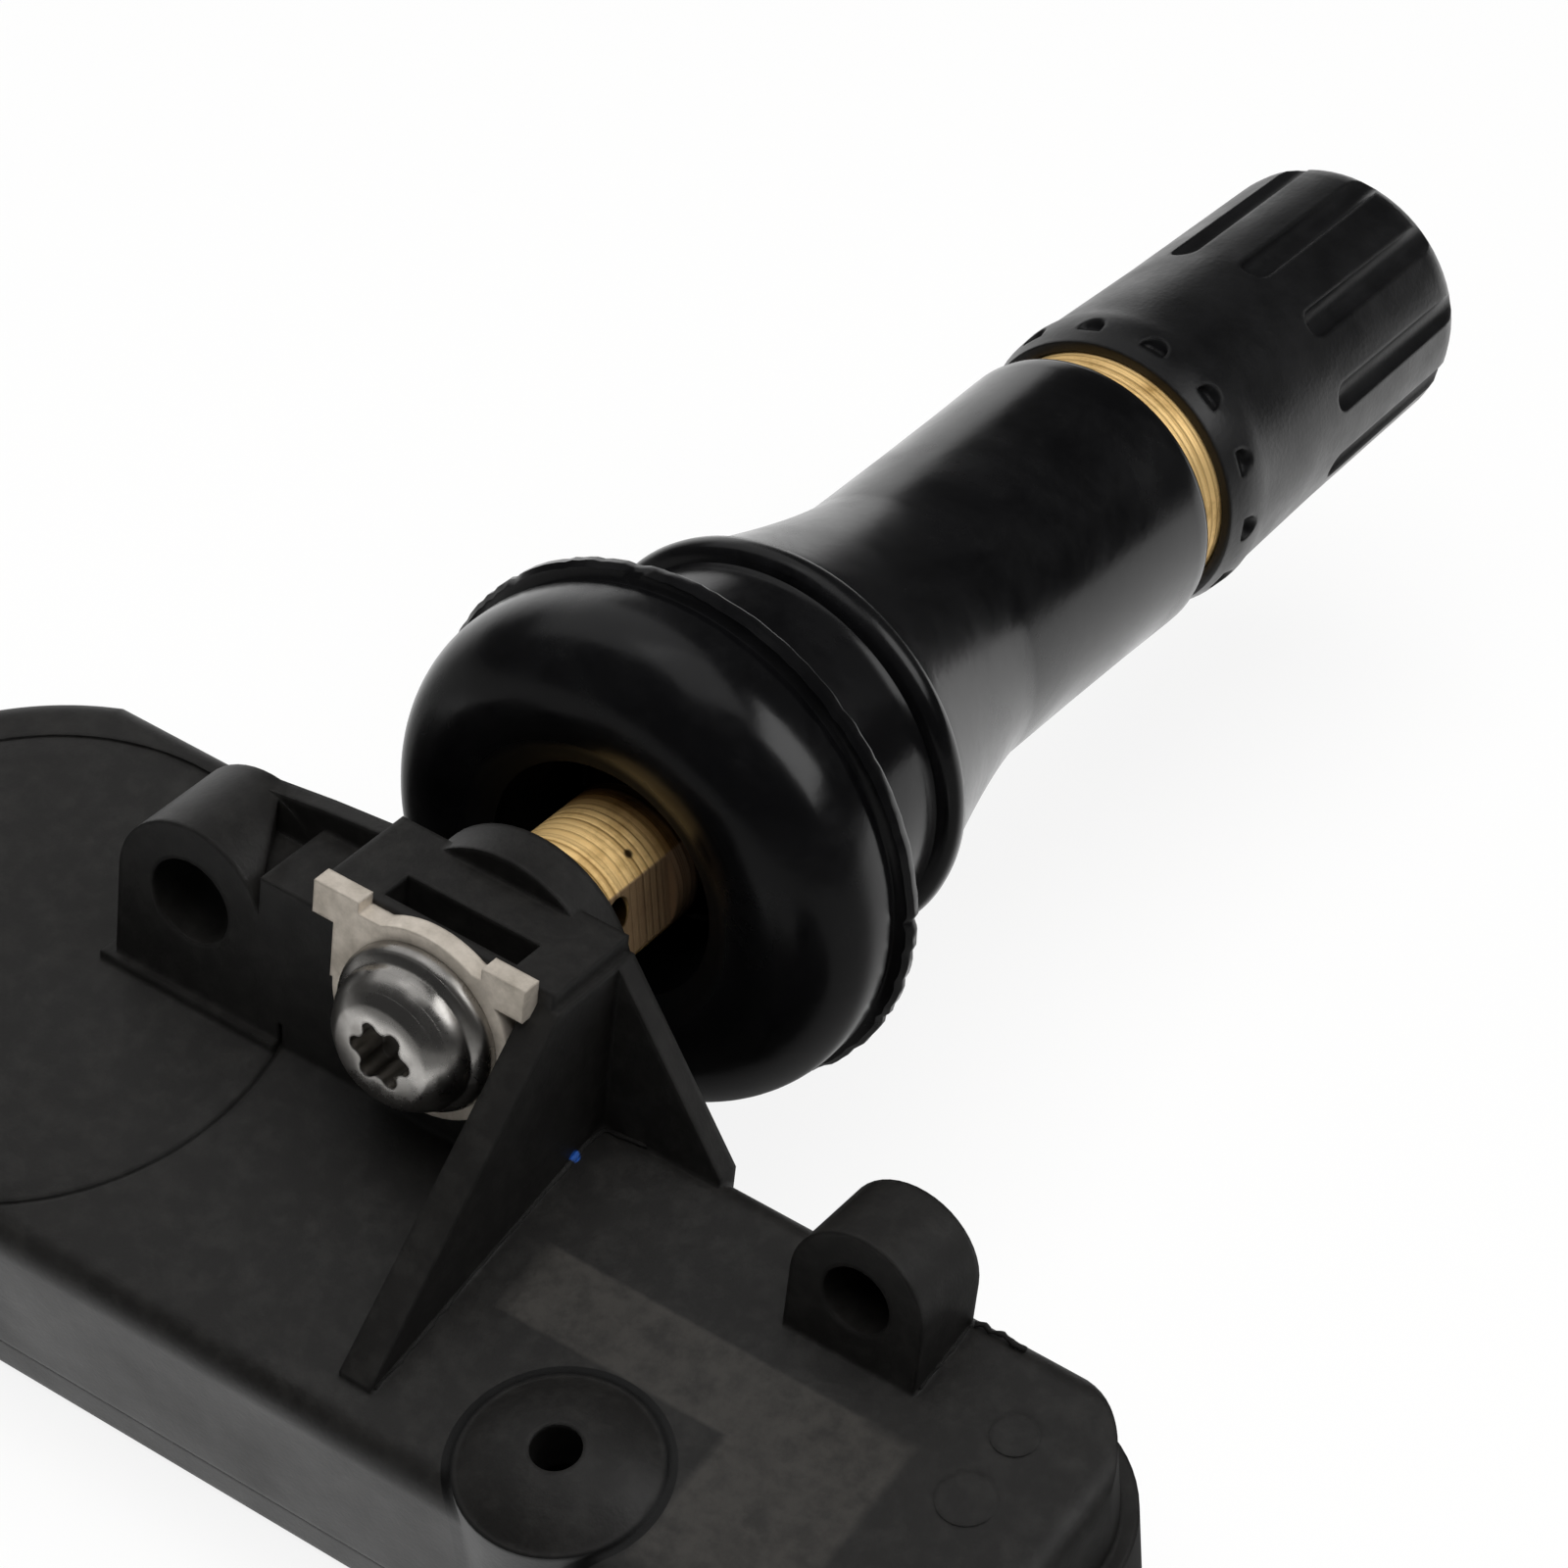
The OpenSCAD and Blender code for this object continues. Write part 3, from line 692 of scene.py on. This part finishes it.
def plated_steel(name, hex_value):
    """Pressed tin-plated strip: dull, slightly warm grey with short rolling scratches and cloudy plating."""
    made, tree, shader, place = surface(name, 0.45, 0.5)
    stretch = add(tree, "ShaderNodeMapping", {"Scale": (1.0, 1.0, 0.12)}, {"Vector": place})
    # Real rolling scratches are a few hundredths of a millimetre wide, so they are drawn at 0.12 mm.
    lines = add(
        tree,
        "ShaderNodeTexNoise",
        {"Scale": per_mm(0.12), "Detail": 3.0},
        {"Vector": stretch.outputs["Vector"]},
    )
    cloud = add(
        tree,
        "ShaderNodeTexNoise",
        {"Scale": per_mm(0.9), "Detail": 6.0, "Roughness": 0.65},
        {"Vector": place},
    )
    tone = add(
        tree,
        "ShaderNodeValToRGB",
        links={"Fac": cloud.outputs["Fac"]},
        stops=[(0.35, hex_value), (0.72, "#b8afa2")],
    )
    tree.links.new(tone.outputs["Color"], shader.inputs["Base Color"])
    sheen = add(
        tree,
        "ShaderNodeMapRange",
        {"From Min": 0.3, "From Max": 0.7, "To Min": 0.4, "To Max": 0.62},
        {"Value": cloud.outputs["Fac"]},
    )
    tree.links.new(sheen.outputs["Result"], shader.inputs["Roughness"])
    rounded = add(tree, "ShaderNodeBevel", {"Radius": 0.15 * MM}, samples=4)
    bump = add(
        tree,
        "ShaderNodeBump",
        {"Strength": 0.3, "Distance": 0.02 * MM},
        {"Height": lines.outputs["Fac"], "Normal": rounded.outputs["Normal"]},
    )
    tree.links.new(bump.outputs["Normal"], shader.inputs["Normal"])
    return made


def plain_finish(name, hex_value, second, rough, metallic=0.0, size=1.0):
    """A finish for the small sealed pieces: two close tones in soft patches with a little grain."""
    made, tree, shader, place = surface(name, rough, metallic)
    patch = add(
        tree,
        "ShaderNodeTexNoise",
        {"Scale": per_mm(size), "Detail": 5.0, "Roughness": 0.6},
        {"Vector": place},
    )
    tone = add(
        tree,
        "ShaderNodeValToRGB",
        links={"Fac": patch.outputs["Fac"]},
        stops=[(0.35, hex_value), (0.7, second)],
    )
    tree.links.new(tone.outputs["Color"], shader.inputs["Base Color"])
    sheen = add(
        tree,
        "ShaderNodeMapRange",
        {"To Min": rough - 0.08, "To Max": rough + 0.1},
        {"Value": patch.outputs["Fac"]},
    )
    tree.links.new(sheen.outputs["Result"], shader.inputs["Roughness"])
    bump = add(
        tree,
        "ShaderNodeBump",
        {"Strength": 0.2, "Distance": 0.02 * MM},
        {"Height": patch.outputs["Fac"]},
    )
    tree.links.new(bump.outputs["Normal"], shader.inputs["Normal"])
    return made


def dress(node, material):
    """Gives a carried-over solid its finish, with curved faces shaded smooth between its creases."""
    sharp = 28.0
    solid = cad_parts[node]
    solid.data.materials.clear()
    solid.data.materials.append(material)
    for face in solid.data.polygons:
        face.use_smooth = True
        face.material_index = 0
    weld = solid.modifiers.new("weld", "WELD")
    weld.merge_threshold = WELD_DISTANCE
    split = solid.modifiers.new("crease", "EDGE_SPLIT")
    split.split_angle = math.radians(sharp)


def finish_piece(shape, name, material, body, sharp):
    """Turns a bmesh to a piece that rides on a body."""
    bmesh.ops.remove_doubles(shape, verts=shape.verts, dist=MERGE_DISTANCE)
    bmesh.ops.recalc_face_normals(shape, faces=shape.faces)
    for face in shape.faces:
        face.smooth = True
    for edge in shape.edges:
        if len(edge.link_faces) == 2 and edge.calc_face_angle() > math.radians(sharp):
            edge.smooth = False
    mesh = bpy.data.meshes.new(name)
    shape.to_mesh(mesh)
    shape.free()
    piece = bpy.data.objects.new(name, mesh)
    bpy.context.scene.collection.objects.link(piece)
    mesh.materials.append(material)
    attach(piece, body)
    return piece


def turned_shape(profile, steps):
    """Spins (radius, distance along the stem) pairs in millimetres about the stem's line."""
    shape = bmesh.new()
    verts = [shape.verts.new((r * MM, y * MM, 0.0)) for r, y in profile]
    for a, b in zip(verts, verts[1:] + verts[:1]):
        shape.edges.new((a, b))
    bmesh.ops.spin(
        shape,
        geom=shape.verts[:] + shape.edges[:],
        cent=(0.0, 0.0, 0.0),
        axis=STEM_AXIS,
        angle=2.0 * math.pi,
        steps=steps,
        use_merge=True,
    )
    return shape


def bulb_profile(lip):
    """Outline of the rubber as (radius, distance along the stem) in millimetres: hole, stepped dish, round
    bulb, flange, groove, ridge, hollow flare, neck and end."""
    points = [(3.9, 0.2), (4.05, 0.1), (4.05, -2.05), (4.1, -2.25), (4.26, -2.36), (4.42, -2.4)]
    points += [(4.6, -2.55), (4.68, -2.78), (4.82, -2.9), (5.0, -3.0), (5.06, -3.18)]
    bulb_steps, bulb_ring, bulb_along, bulb_round = 26, 6.3, -2.0, 3.08
    for k in range(bulb_steps + 1):
        a = math.radians(232.0 + 128.0 * k / bulb_steps)
        points.append((bulb_ring + bulb_round * math.cos(a), bulb_along + bulb_round * math.sin(a)))
    points += [(9.37, -1.3), (9.3, -0.95), (9.22, -0.78), (9.3, -0.7), (lip - 0.16, -0.64), (lip, -0.44)]
    points += [(lip, -0.2), (lip - 0.12, -0.04), (9.3, 0.0), (7.15, 0.0), (6.95, 0.12), (6.9, 0.4)]
    points += [(6.98, 2.4), (7.02, 4.55), (7.0, 4.85), (7.06, 5.0), (7.3, 5.06), (7.52, 5.22), (7.64, 5.45)]
    points += [(7.66, 5.7), (7.6, 5.95), (7.45, 6.12), (7.3, 6.22)]
    flare_steps, flare_start, flare_length, flare_rise, neck = 24, 6.4, 7.3, 1.75, 5.5
    for k in range(flare_steps + 1):
        left = (flare_steps - k) / flare_steps
        points.append((neck + flare_rise * left**1.35, flare_start + flare_length * (1.0 - left)))
    points += [(5.5, 18.0), (5.53, 21.5), (5.58, 24.3), (5.58, 24.75), (5.52, 25.0), (5.4, 25.15)]
    points += [(5.2, 25.2), (4.95, 25.2), (4.95, 24.3), (3.9, 24.3)]
    return points


class SENSOR_OT_rubber_stem(bpy.types.Operator):
    """Make the snap-in rubber stem with its nicked flange."""

    bl_idname = "sensor.rubber_stem"
    bl_label = "Rubber Stem"

    def execute(self, context):
        sizes = context.scene.sensor_stem
        shape = turned_shape(bulb_profile(sizes.lip_radius), 192)
        lip_depth, lip_start = 0.3, -0.8
        for vert in shape.verts:
            radius = math.hypot(vert.co.x, vert.co.z)
            if radius > (sizes.lip_radius - lip_depth) * MM and vert.co.y > lip_start * MM:
                # Coarse nicks over a fine roughness, both read round a circle, so that the ends meet.
                angle = math.atan2(vert.co.z, vert.co.x)
                circle = Vector((math.cos(angle) * 4.0, math.sin(angle) * 4.0, 0.0))
                coarse, fine = noise.noise(circle * 4.0), noise.noise(circle * 9.0)
                nick = max(0.0, coarse - 0.12) + 0.35 * abs(fine)
                scale = 1.0 - nick * sizes.lip_wear * MM / radius * 1.6
                vert.co.x *= scale
                vert.co.z *= scale
        rubber = cured_rubber("cured_rubber", context.scene.sensor_finish.rubber)
        piece = finish_piece(shape, "rubber_stem", rubber, SENSOR, sharp=38.0)
        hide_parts("rubber_body")
        return {"FINISHED"}


class SENSOR_OT_brass_stem(bpy.types.Operator):
    """Finish the turned brass stem and wind its valve thread."""

    bl_idname = "sensor.brass_stem"
    bl_label = "Brass Stem"

    def execute(self, context):
        sizes = context.scene.sensor_stem
        colour = context.scene.sensor_finish.brass
        # A dull film on the brass takes half of its metal shine.
        brass = turned_metal(
            "turned_brass",
            colour,
            "#a88346",
            rough=0.42,
            pitch=0.36,
            depth=0.34,
            ring_end=-1.0,
            metallic=0.5,
            groove_shade_share=0.8,
        )
        dress("valve_stem", brass)
        root, crest, first_turn, turns, parts = 3.45, sizes.thread_radius, 30.0, 13, 32
        outline = [(root, -0.37), (crest, -0.07), (crest, 0.07), (root, 0.37)]
        shape = bmesh.new()
        verts = [shape.verts.new((r * MM, (first_turn + y) * MM, 0.0)) for r, y in outline]
        start = shape.faces.new(verts)
        bmesh.ops.spin(
            shape,
            geom=[start],
            cent=(0.0, 0.0, 0.0),
            axis=STEM_AXIS,
            dvec=STEM_AXIS * (sizes.thread_pitch / parts * MM),
            angle=2.0 * math.pi * turns,
            steps=parts * turns,
        )
        finish_piece(shape, "valve_thread", brass, SENSOR, sharp=40.0)
        return {"FINISHED"}


class SENSOR_OT_valve_core(bpy.types.Operator):
    """Finish the valve core: plug, barrel, white seal, pin, cup and spring."""

    bl_idname = "sensor.valve_core"
    bl_label = "Valve Core"

    def execute(self, context):
        brass = turned_metal("core_brass", "#e0c88a", "#b0904e", rough=0.2, pitch=0.2, depth=0.006)
        steel = turned_metal("pin_steel", "#cfd0cf", "#a6a6a2", rough=0.22, pitch=0.2, depth=0.006)
        dress("core_plug", brass)
        dress("core_barrel", brass)
        dress("core_pin", steel)
        dress("core_spring", steel)
        dress("core_seal", plain_finish("white_ptfe", "#e9e7e0", "#d8d5cb", 0.45))
        dress("core_cup", plain_finish("cup_rubber", "#191919", "#262626", 0.6))
        return {"FINISHED"}


class SENSOR_OT_cap(bpy.types.Operator):
    """Finish the ribbed cap and its seal."""

    bl_idname = "sensor.cap"
    bl_label = "Cap"

    def execute(self, context):
        finish = context.scene.sensor_finish
        dress("cap", moulded_cap("moulded_polypropylene", finish.cap, finish.edge * 0.8))
        dress("cap_seal", plain_finish("seal_rubber", "#171717", "#232323", 0.65))
        return {"FINISHED"}


class SENSOR_OT_fixings(bpy.types.Operator):
    """Finish the screw and the pressed clip under it."""

    bl_idname = "sensor.fixings"
    bl_label = "Fixings"

    def execute(self, context):
        colour = context.scene.sensor_finish.steel
        steel = turned_metal("turned_steel", colour, "#a19d97", rough=0.27, pitch=0.3, depth=0.003)
        dress("mounting_screw", steel)
        dress("retaining_clip", plated_steel("tin_plated_steel", "#e0d6c9"))
        return {"FINISHED"}


class SENSOR_OT_housing(bpy.types.Operator):
    """Finish the moulded housing and its cover, and add the flash that the mould left."""

    bl_idname = "sensor.housing"
    bl_label = "Housing"

    def execute(self, context):
        finish = context.scene.sensor_finish
        nylon = glass_filled_nylon("glass_filled_nylon", finish.housing, finish.edge)
        dress("housing", nylon)
        dress("base_cover", nylon)
        # Each line of flash: its corners on the leaning top, and its radius, in millimetres.
        rib = [(4.84, -23.15), (4.83, -20.6), (4.8, -18.4), (4.84, -15.0), (4.82, -12.0)]
        rib += [(5.0, -11.2), (6.6, -10.98)]
        lug = [(19.22, -13.9), (19.24, -12.6), (19.22, -11.2)]
        back = [(19.3, -10.95), (19.62, -10.82), (19.9, -10.94)]
        back += [(20.3, -10.8), (20.75, -10.92), (21.2, -10.9)]
        lines = {"rib_flash": (rib, 0.11), "lug_flash": (lug, 0.1), "back_flash": (back, 0.13)}
        parts = 6
        for name, (route, thick) in lines.items():
            curve = bpy.data.curves.new(name, "CURVE")
            curve.dimensions = "3D"
            curve.bevel_depth = thick * MM
            curve.bevel_resolution = 2
            curve.use_fill_caps = True
            spline = curve.splines.new("POLY")
            spline.points.add((len(route) - 1) * parts)
            for k, point in enumerate(spline.points):
                leg = min(k // parts, len(route) - 2)
                x, v = Vector(route[leg]).lerp(Vector(route[leg + 1]), (k - parts * leg) / parts)
                rough = noise.noise(Vector((x * 3.0, v * 3.0, 1.7)))
                point.co = (*on_top(x + 0.05 * rough, v, 0.02), 1.0)
                point.radius = 0.75 + 0.55 * rough
            piece = bpy.data.objects.new(name, curve)
            context.scene.collection.objects.link(piece)
            curve.materials.append(nylon)
            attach(piece, SENSOR)
        return {"FINISHED"}


class SENSOR_OT_electronics(bpy.types.Operator):
    """Finish the sealed pieces inside the housing."""

    bl_idname = "sensor.electronics"
    bl_label = "Electronics"

    def execute(self, context):
        finishes = {
            "circuit_board": plain_finish("board_laminate", "#1d5a3b", "#24694a", 0.4),
            "battery_cell": plain_finish("cell_steel", "#c6c8c6", "#b4b6b4", 0.28, 1.0),
            "battery_tab_positive": plain_finish("nickel_tab", "#c9c6bd", "#b5b2aa", 0.3, 1.0),
            "battery_tab_negative": plain_finish("nickel_tab_under", "#c9c6bd", "#b5b2aa", 0.3, 1.0),
            "sensor_chip": plain_finish("chip_epoxy", "#1b1b1c", "#242425", 0.55),
            "port_seal": plain_finish("port_rubber", "#2b2b2b", "#353535", 0.7),
            "coil_core": plain_finish("ferrite", "#38383a", "#444446", 0.6),
            "coil_winding": plain_finish("enamelled_copper", "#b4703c", "#96562a", 0.3, 1.0, 0.2),
            "rf_antenna": plain_finish("antenna_wire", "#c9a662", "#b08d4c", 0.3, 1.0),
            "crystal": plain_finish("can_steel", "#cfd0d0", "#bcbdbd", 0.25, 1.0),
            "radio_chip": plain_finish("chip_resin", "#1d1d1e", "#272728", 0.5),
            "chip_parts": plain_finish("chip_ceramic", "#9a8467", "#7f6b51", 0.5),
        }
        for node, material in finishes.items():
            dress(node, material)
        return {"FINISHED"}


class SENSOR_OT_stage(bpy.types.Operator):
    """Make the pale floor, the lamps, the world and the camera."""

    bl_idname = "sensor.stage"
    bl_label = "Stage"

    def execute(self, context):
        stage = context.scene.sensor_stage
        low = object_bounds()[0]
        shape = bmesh.new()
        bmesh.ops.create_grid(shape, x_segments=1, y_segments=1, size=stage.floor_size / 2.0)
        bmesh.ops.translate(shape, vec=(0.0, 0.0, low[2]), verts=shape.verts)
        mesh = bpy.data.meshes.new("floor")
        shape.to_mesh(mesh)
        shape.free()
        floor = bpy.data.objects.new("floor", mesh)
        context.scene.collection.objects.link(floor)
        mesh.materials.append(white_floor())
        floor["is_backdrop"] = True
        # The top lamp lights the part and isn't mirrored in it. The other three give the metal its shine.
        overhead = place_lamp("top_lamp", (0.06, -0.14, 0.58), 0.5, stage.top_power)
        overhead.visible_glossy = False
        place_lamp("sheen_lamp", (0.38, 0.153, 0.44), 0.36, stage.sheen_power)
        place_lamp("left_lamp", (-0.4, 0.108, 0.5), 0.62, stage.left_power)
        place_lamp("high_lamp", (-0.03, -0.03, 0.62), 0.42, stage.high_power)
        light_world(context.scene)
        place_camera(context.scene, stage.focal_length)
        context.scene.view_settings.view_transform = "Standard"
        return {"FINISHED"}


def white_floor():
    """Pale board: white where it is seen, with a faint shadow under the part. For reflections it glows as
    painted light: white behind the part and close in front of the housing, and dim farther out in front."""
    made = bpy.data.materials.new("pale_board")
    made.use_nodes = True
    tree = made.node_tree
    tree.nodes.clear()
    paint = add(tree, "ShaderNodeBsdfDiffuse", {"Color": linear("#f4f4f2")})
    rays = add(tree, "ShaderNodeLightPath")
    place = add(tree, "ShaderNodeTexCoord").outputs["Object"]
    # The glowing patch close in front of the housing, painted light for reflections, is a long oval, so X is
    # squeezed and the height dropped.
    squeezed = add(tree, "ShaderNodeVectorMath", {1: (0.3, 1.0, 0.0)}, {0: place}, operation="MULTIPLY")
    front_glow = spot(tree, squeezed.outputs["Vector"], (-2.0, -28.0, 0.0), 5.0, 18.0)
    way = add(tree, "ShaderNodeVectorMath", links={0: place}, operation="NORMALIZE")
    behind = add(
        tree, "ShaderNodeVectorMath", {1: BEHIND}, {0: way.outputs["Vector"]}, operation="DOT_PRODUCT"
    )
    lit = add(
        tree,
        "ShaderNodeMapRange",
        {"From Min": 0.12, "From Max": 0.78, "To Min": 0.08, "To Max": 1.2},
        {"Value": behind.outputs["Value"]},
        interpolation_type="SMOOTHSTEP",
    )
    close = add(tree, "ShaderNodeMath", {1: 1.3}, {0: front_glow}, operation="MULTIPLY")
    mirrored = add(
        tree,
        "ShaderNodeMath",
        links={0: close.outputs["Value"], 1: lit.outputs["Result"]},
        operation="MAXIMUM",
    )
    level = add(
        tree,
        "ShaderNodeMix",
        {3: 1.0},
        {0: rays.outputs["Is Camera Ray"], 2: mirrored.outputs["Value"]},
        data_type="FLOAT",
    )
    white = add(
        tree, "ShaderNodeEmission", {"Color": (1.0, 1.0, 1.0, 1.0)}, {"Strength": level.outputs[0]}
    )
    seen = add(
        tree,
        "ShaderNodeMath",
        links={0: rays.outputs["Is Camera Ray"], 1: rays.outputs["Is Glossy Ray"]},
        operation="MAXIMUM",
    )
    # The rest of the board stays paint, which takes the part's shadow.
    share = add(tree, "ShaderNodeMath", {1: 0.86}, {0: seen.outputs["Value"]}, operation="MULTIPLY")
    both = add(
        tree,
        "ShaderNodeMixShader",
        links={0: share.outputs["Value"], 1: paint.outputs["BSDF"], 2: white.outputs["Emission"]},
    )
    add(tree, "ShaderNodeOutputMaterial", links={"Surface": both.outputs["Shader"]})
    return made


def place_lamp(name, place, size, power):
    """A square area lamp that faces the middle of the part."""
    data = bpy.data.lights.new(name, "AREA")
    data.size = size
    data.energy = power
    lamp = bpy.data.objects.new(name, data)
    bpy.context.scene.collection.objects.link(lamp)
    lamp.location = place
    lamp.rotation_euler = (MIDDLE - Vector(place)).to_track_quat("-Z", "Y").to_euler()
    return lamp


def light_world(scene):
    """For reflections and light, white low behind the part and dark overhead and in front. Seen straight on,
    past the floor's edge, it is white all over."""
    world = bpy.data.worlds.new("white_room")
    scene.world = world
    world.use_nodes = True
    tree = world.node_tree
    tree.nodes.clear()
    way = add(tree, "ShaderNodeTexCoord").outputs["Generated"]
    height = add(tree, "ShaderNodeVectorMath", {1: UP_RIGHT}, {0: way}, operation="DOT_PRODUCT")
    low = add(
        tree,
        "ShaderNodeMapRange",
        {"From Min": -0.44, "From Max": -0.22, "To Min": 1.0, "To Max": 0.0},
        {"Value": height.outputs["Value"]},
        interpolation_type="SMOOTHSTEP",
    )
    behind = add(tree, "ShaderNodeVectorMath", {1: BEHIND}, {0: way}, operation="DOT_PRODUCT")
    side = add(
        tree,
        "ShaderNodeMapRange",
        {"From Min": 0.3, "From Max": 0.75},
        {"Value": behind.outputs["Value"]},
        interpolation_type="SMOOTHSTEP",
    )
    band = add(
        tree,
        "ShaderNodeMath",
        links={0: low.outputs["Result"], 1: side.outputs["Result"]},
        operation="MULTIPLY",
    )
    shade = add(
        tree, "ShaderNodeMapRange", {"To Min": 0.045, "To Max": 1.1}, {"Value": band.outputs["Value"]}
    )
    rays = add(tree, "ShaderNodeLightPath")
    level = add(
        tree,
        "ShaderNodeMix",
        {3: 1.0},
        {0: rays.outputs["Is Camera Ray"], 2: shade.outputs["Result"]},
        data_type="FLOAT",
    )
    back = add(tree, "ShaderNodeBackground", {"Color": (1.0, 1.0, 1.0, 1.0)}, {"Strength": level.outputs[0]})
    add(tree, "ShaderNodeOutputWorld", links={"Surface": back.outputs["Background"]})


def place_camera(scene, focal_length):
    """The photograph's viewpoint, over the screw end of the part. Its place and its turn were fitted to the
    circles of the stem."""
    data = bpy.data.cameras.new("photo_camera")
    data.lens = focal_length
    data.sensor_width = 36.0
    data.clip_start = 0.01
    camera = bpy.data.objects.new("photo_camera", data)
    scene.collection.objects.link(camera)
    place = (0.08184, -0.13137, 0.12193)
    right = Vector((0.8161, 0.5699, 0.0953)).normalized()
    back = Vector((0.4031, -0.6797, 0.6128)).normalized()
    up = back.cross(right).normalized()
    turn = Matrix((right, up, back)).transposed().to_4x4()
    camera.matrix_world = Matrix.Translation(place) @ turn
    scene.camera = camera


class SENSOR_PT_looks(bpy.types.Panel):
    """Lists the steps that finish the part."""

    bl_idname = "SENSOR_PT_looks"
    bl_label = "Pressure Sensor"
    bl_space_type = "VIEW_3D"
    bl_region_type = "UI"
    bl_category = "Sensor"

    def draw(self, context):
        for settings in (context.scene.sensor_stem, context.scene.sensor_finish, context.scene.sensor_stage):
            box = self.layout.box()
            for prop in settings.bl_rna.properties:
                if prop.identifier not in ("name", "rna_type"):
                    box.prop(settings, prop.identifier)
        for step in STEPS:
            self.layout.operator(step.bl_idname)


STEPS = (
    SENSOR_OT_rubber_stem,
    SENSOR_OT_brass_stem,
    SENSOR_OT_valve_core,
    SENSOR_OT_cap,
    SENSOR_OT_fixings,
    SENSOR_OT_housing,
    SENSOR_OT_electronics,
    SENSOR_OT_stage,
)
SETTINGS = {"sensor_stem": StemSettings, "sensor_finish": FinishSettings, "sensor_stage": StageSettings}


def register():
    for kind in tuple(SETTINGS.values()) + STEPS + (SENSOR_PT_looks,):
        bpy.utils.register_class(kind)
    for name, kind in SETTINGS.items():
        setattr(bpy.types.Scene, name, bpy.props.PointerProperty(type=kind))


def unregister():
    for name in SETTINGS:
        delattr(bpy.types.Scene, name)
    for kind in reversed(tuple(SETTINGS.values()) + STEPS + (SENSOR_PT_looks,)):
        bpy.utils.unregister_class(kind)


def main():
    register()
    bpy.ops.sensor.rubber_stem()
    bpy.ops.sensor.brass_stem()
    bpy.ops.sensor.valve_core()
    bpy.ops.sensor.cap()
    bpy.ops.sensor.fixings()
    bpy.ops.sensor.housing()
    bpy.ops.sensor.electronics()
    bpy.ops.sensor.stage()


if __name__ == "__main__":
    main()
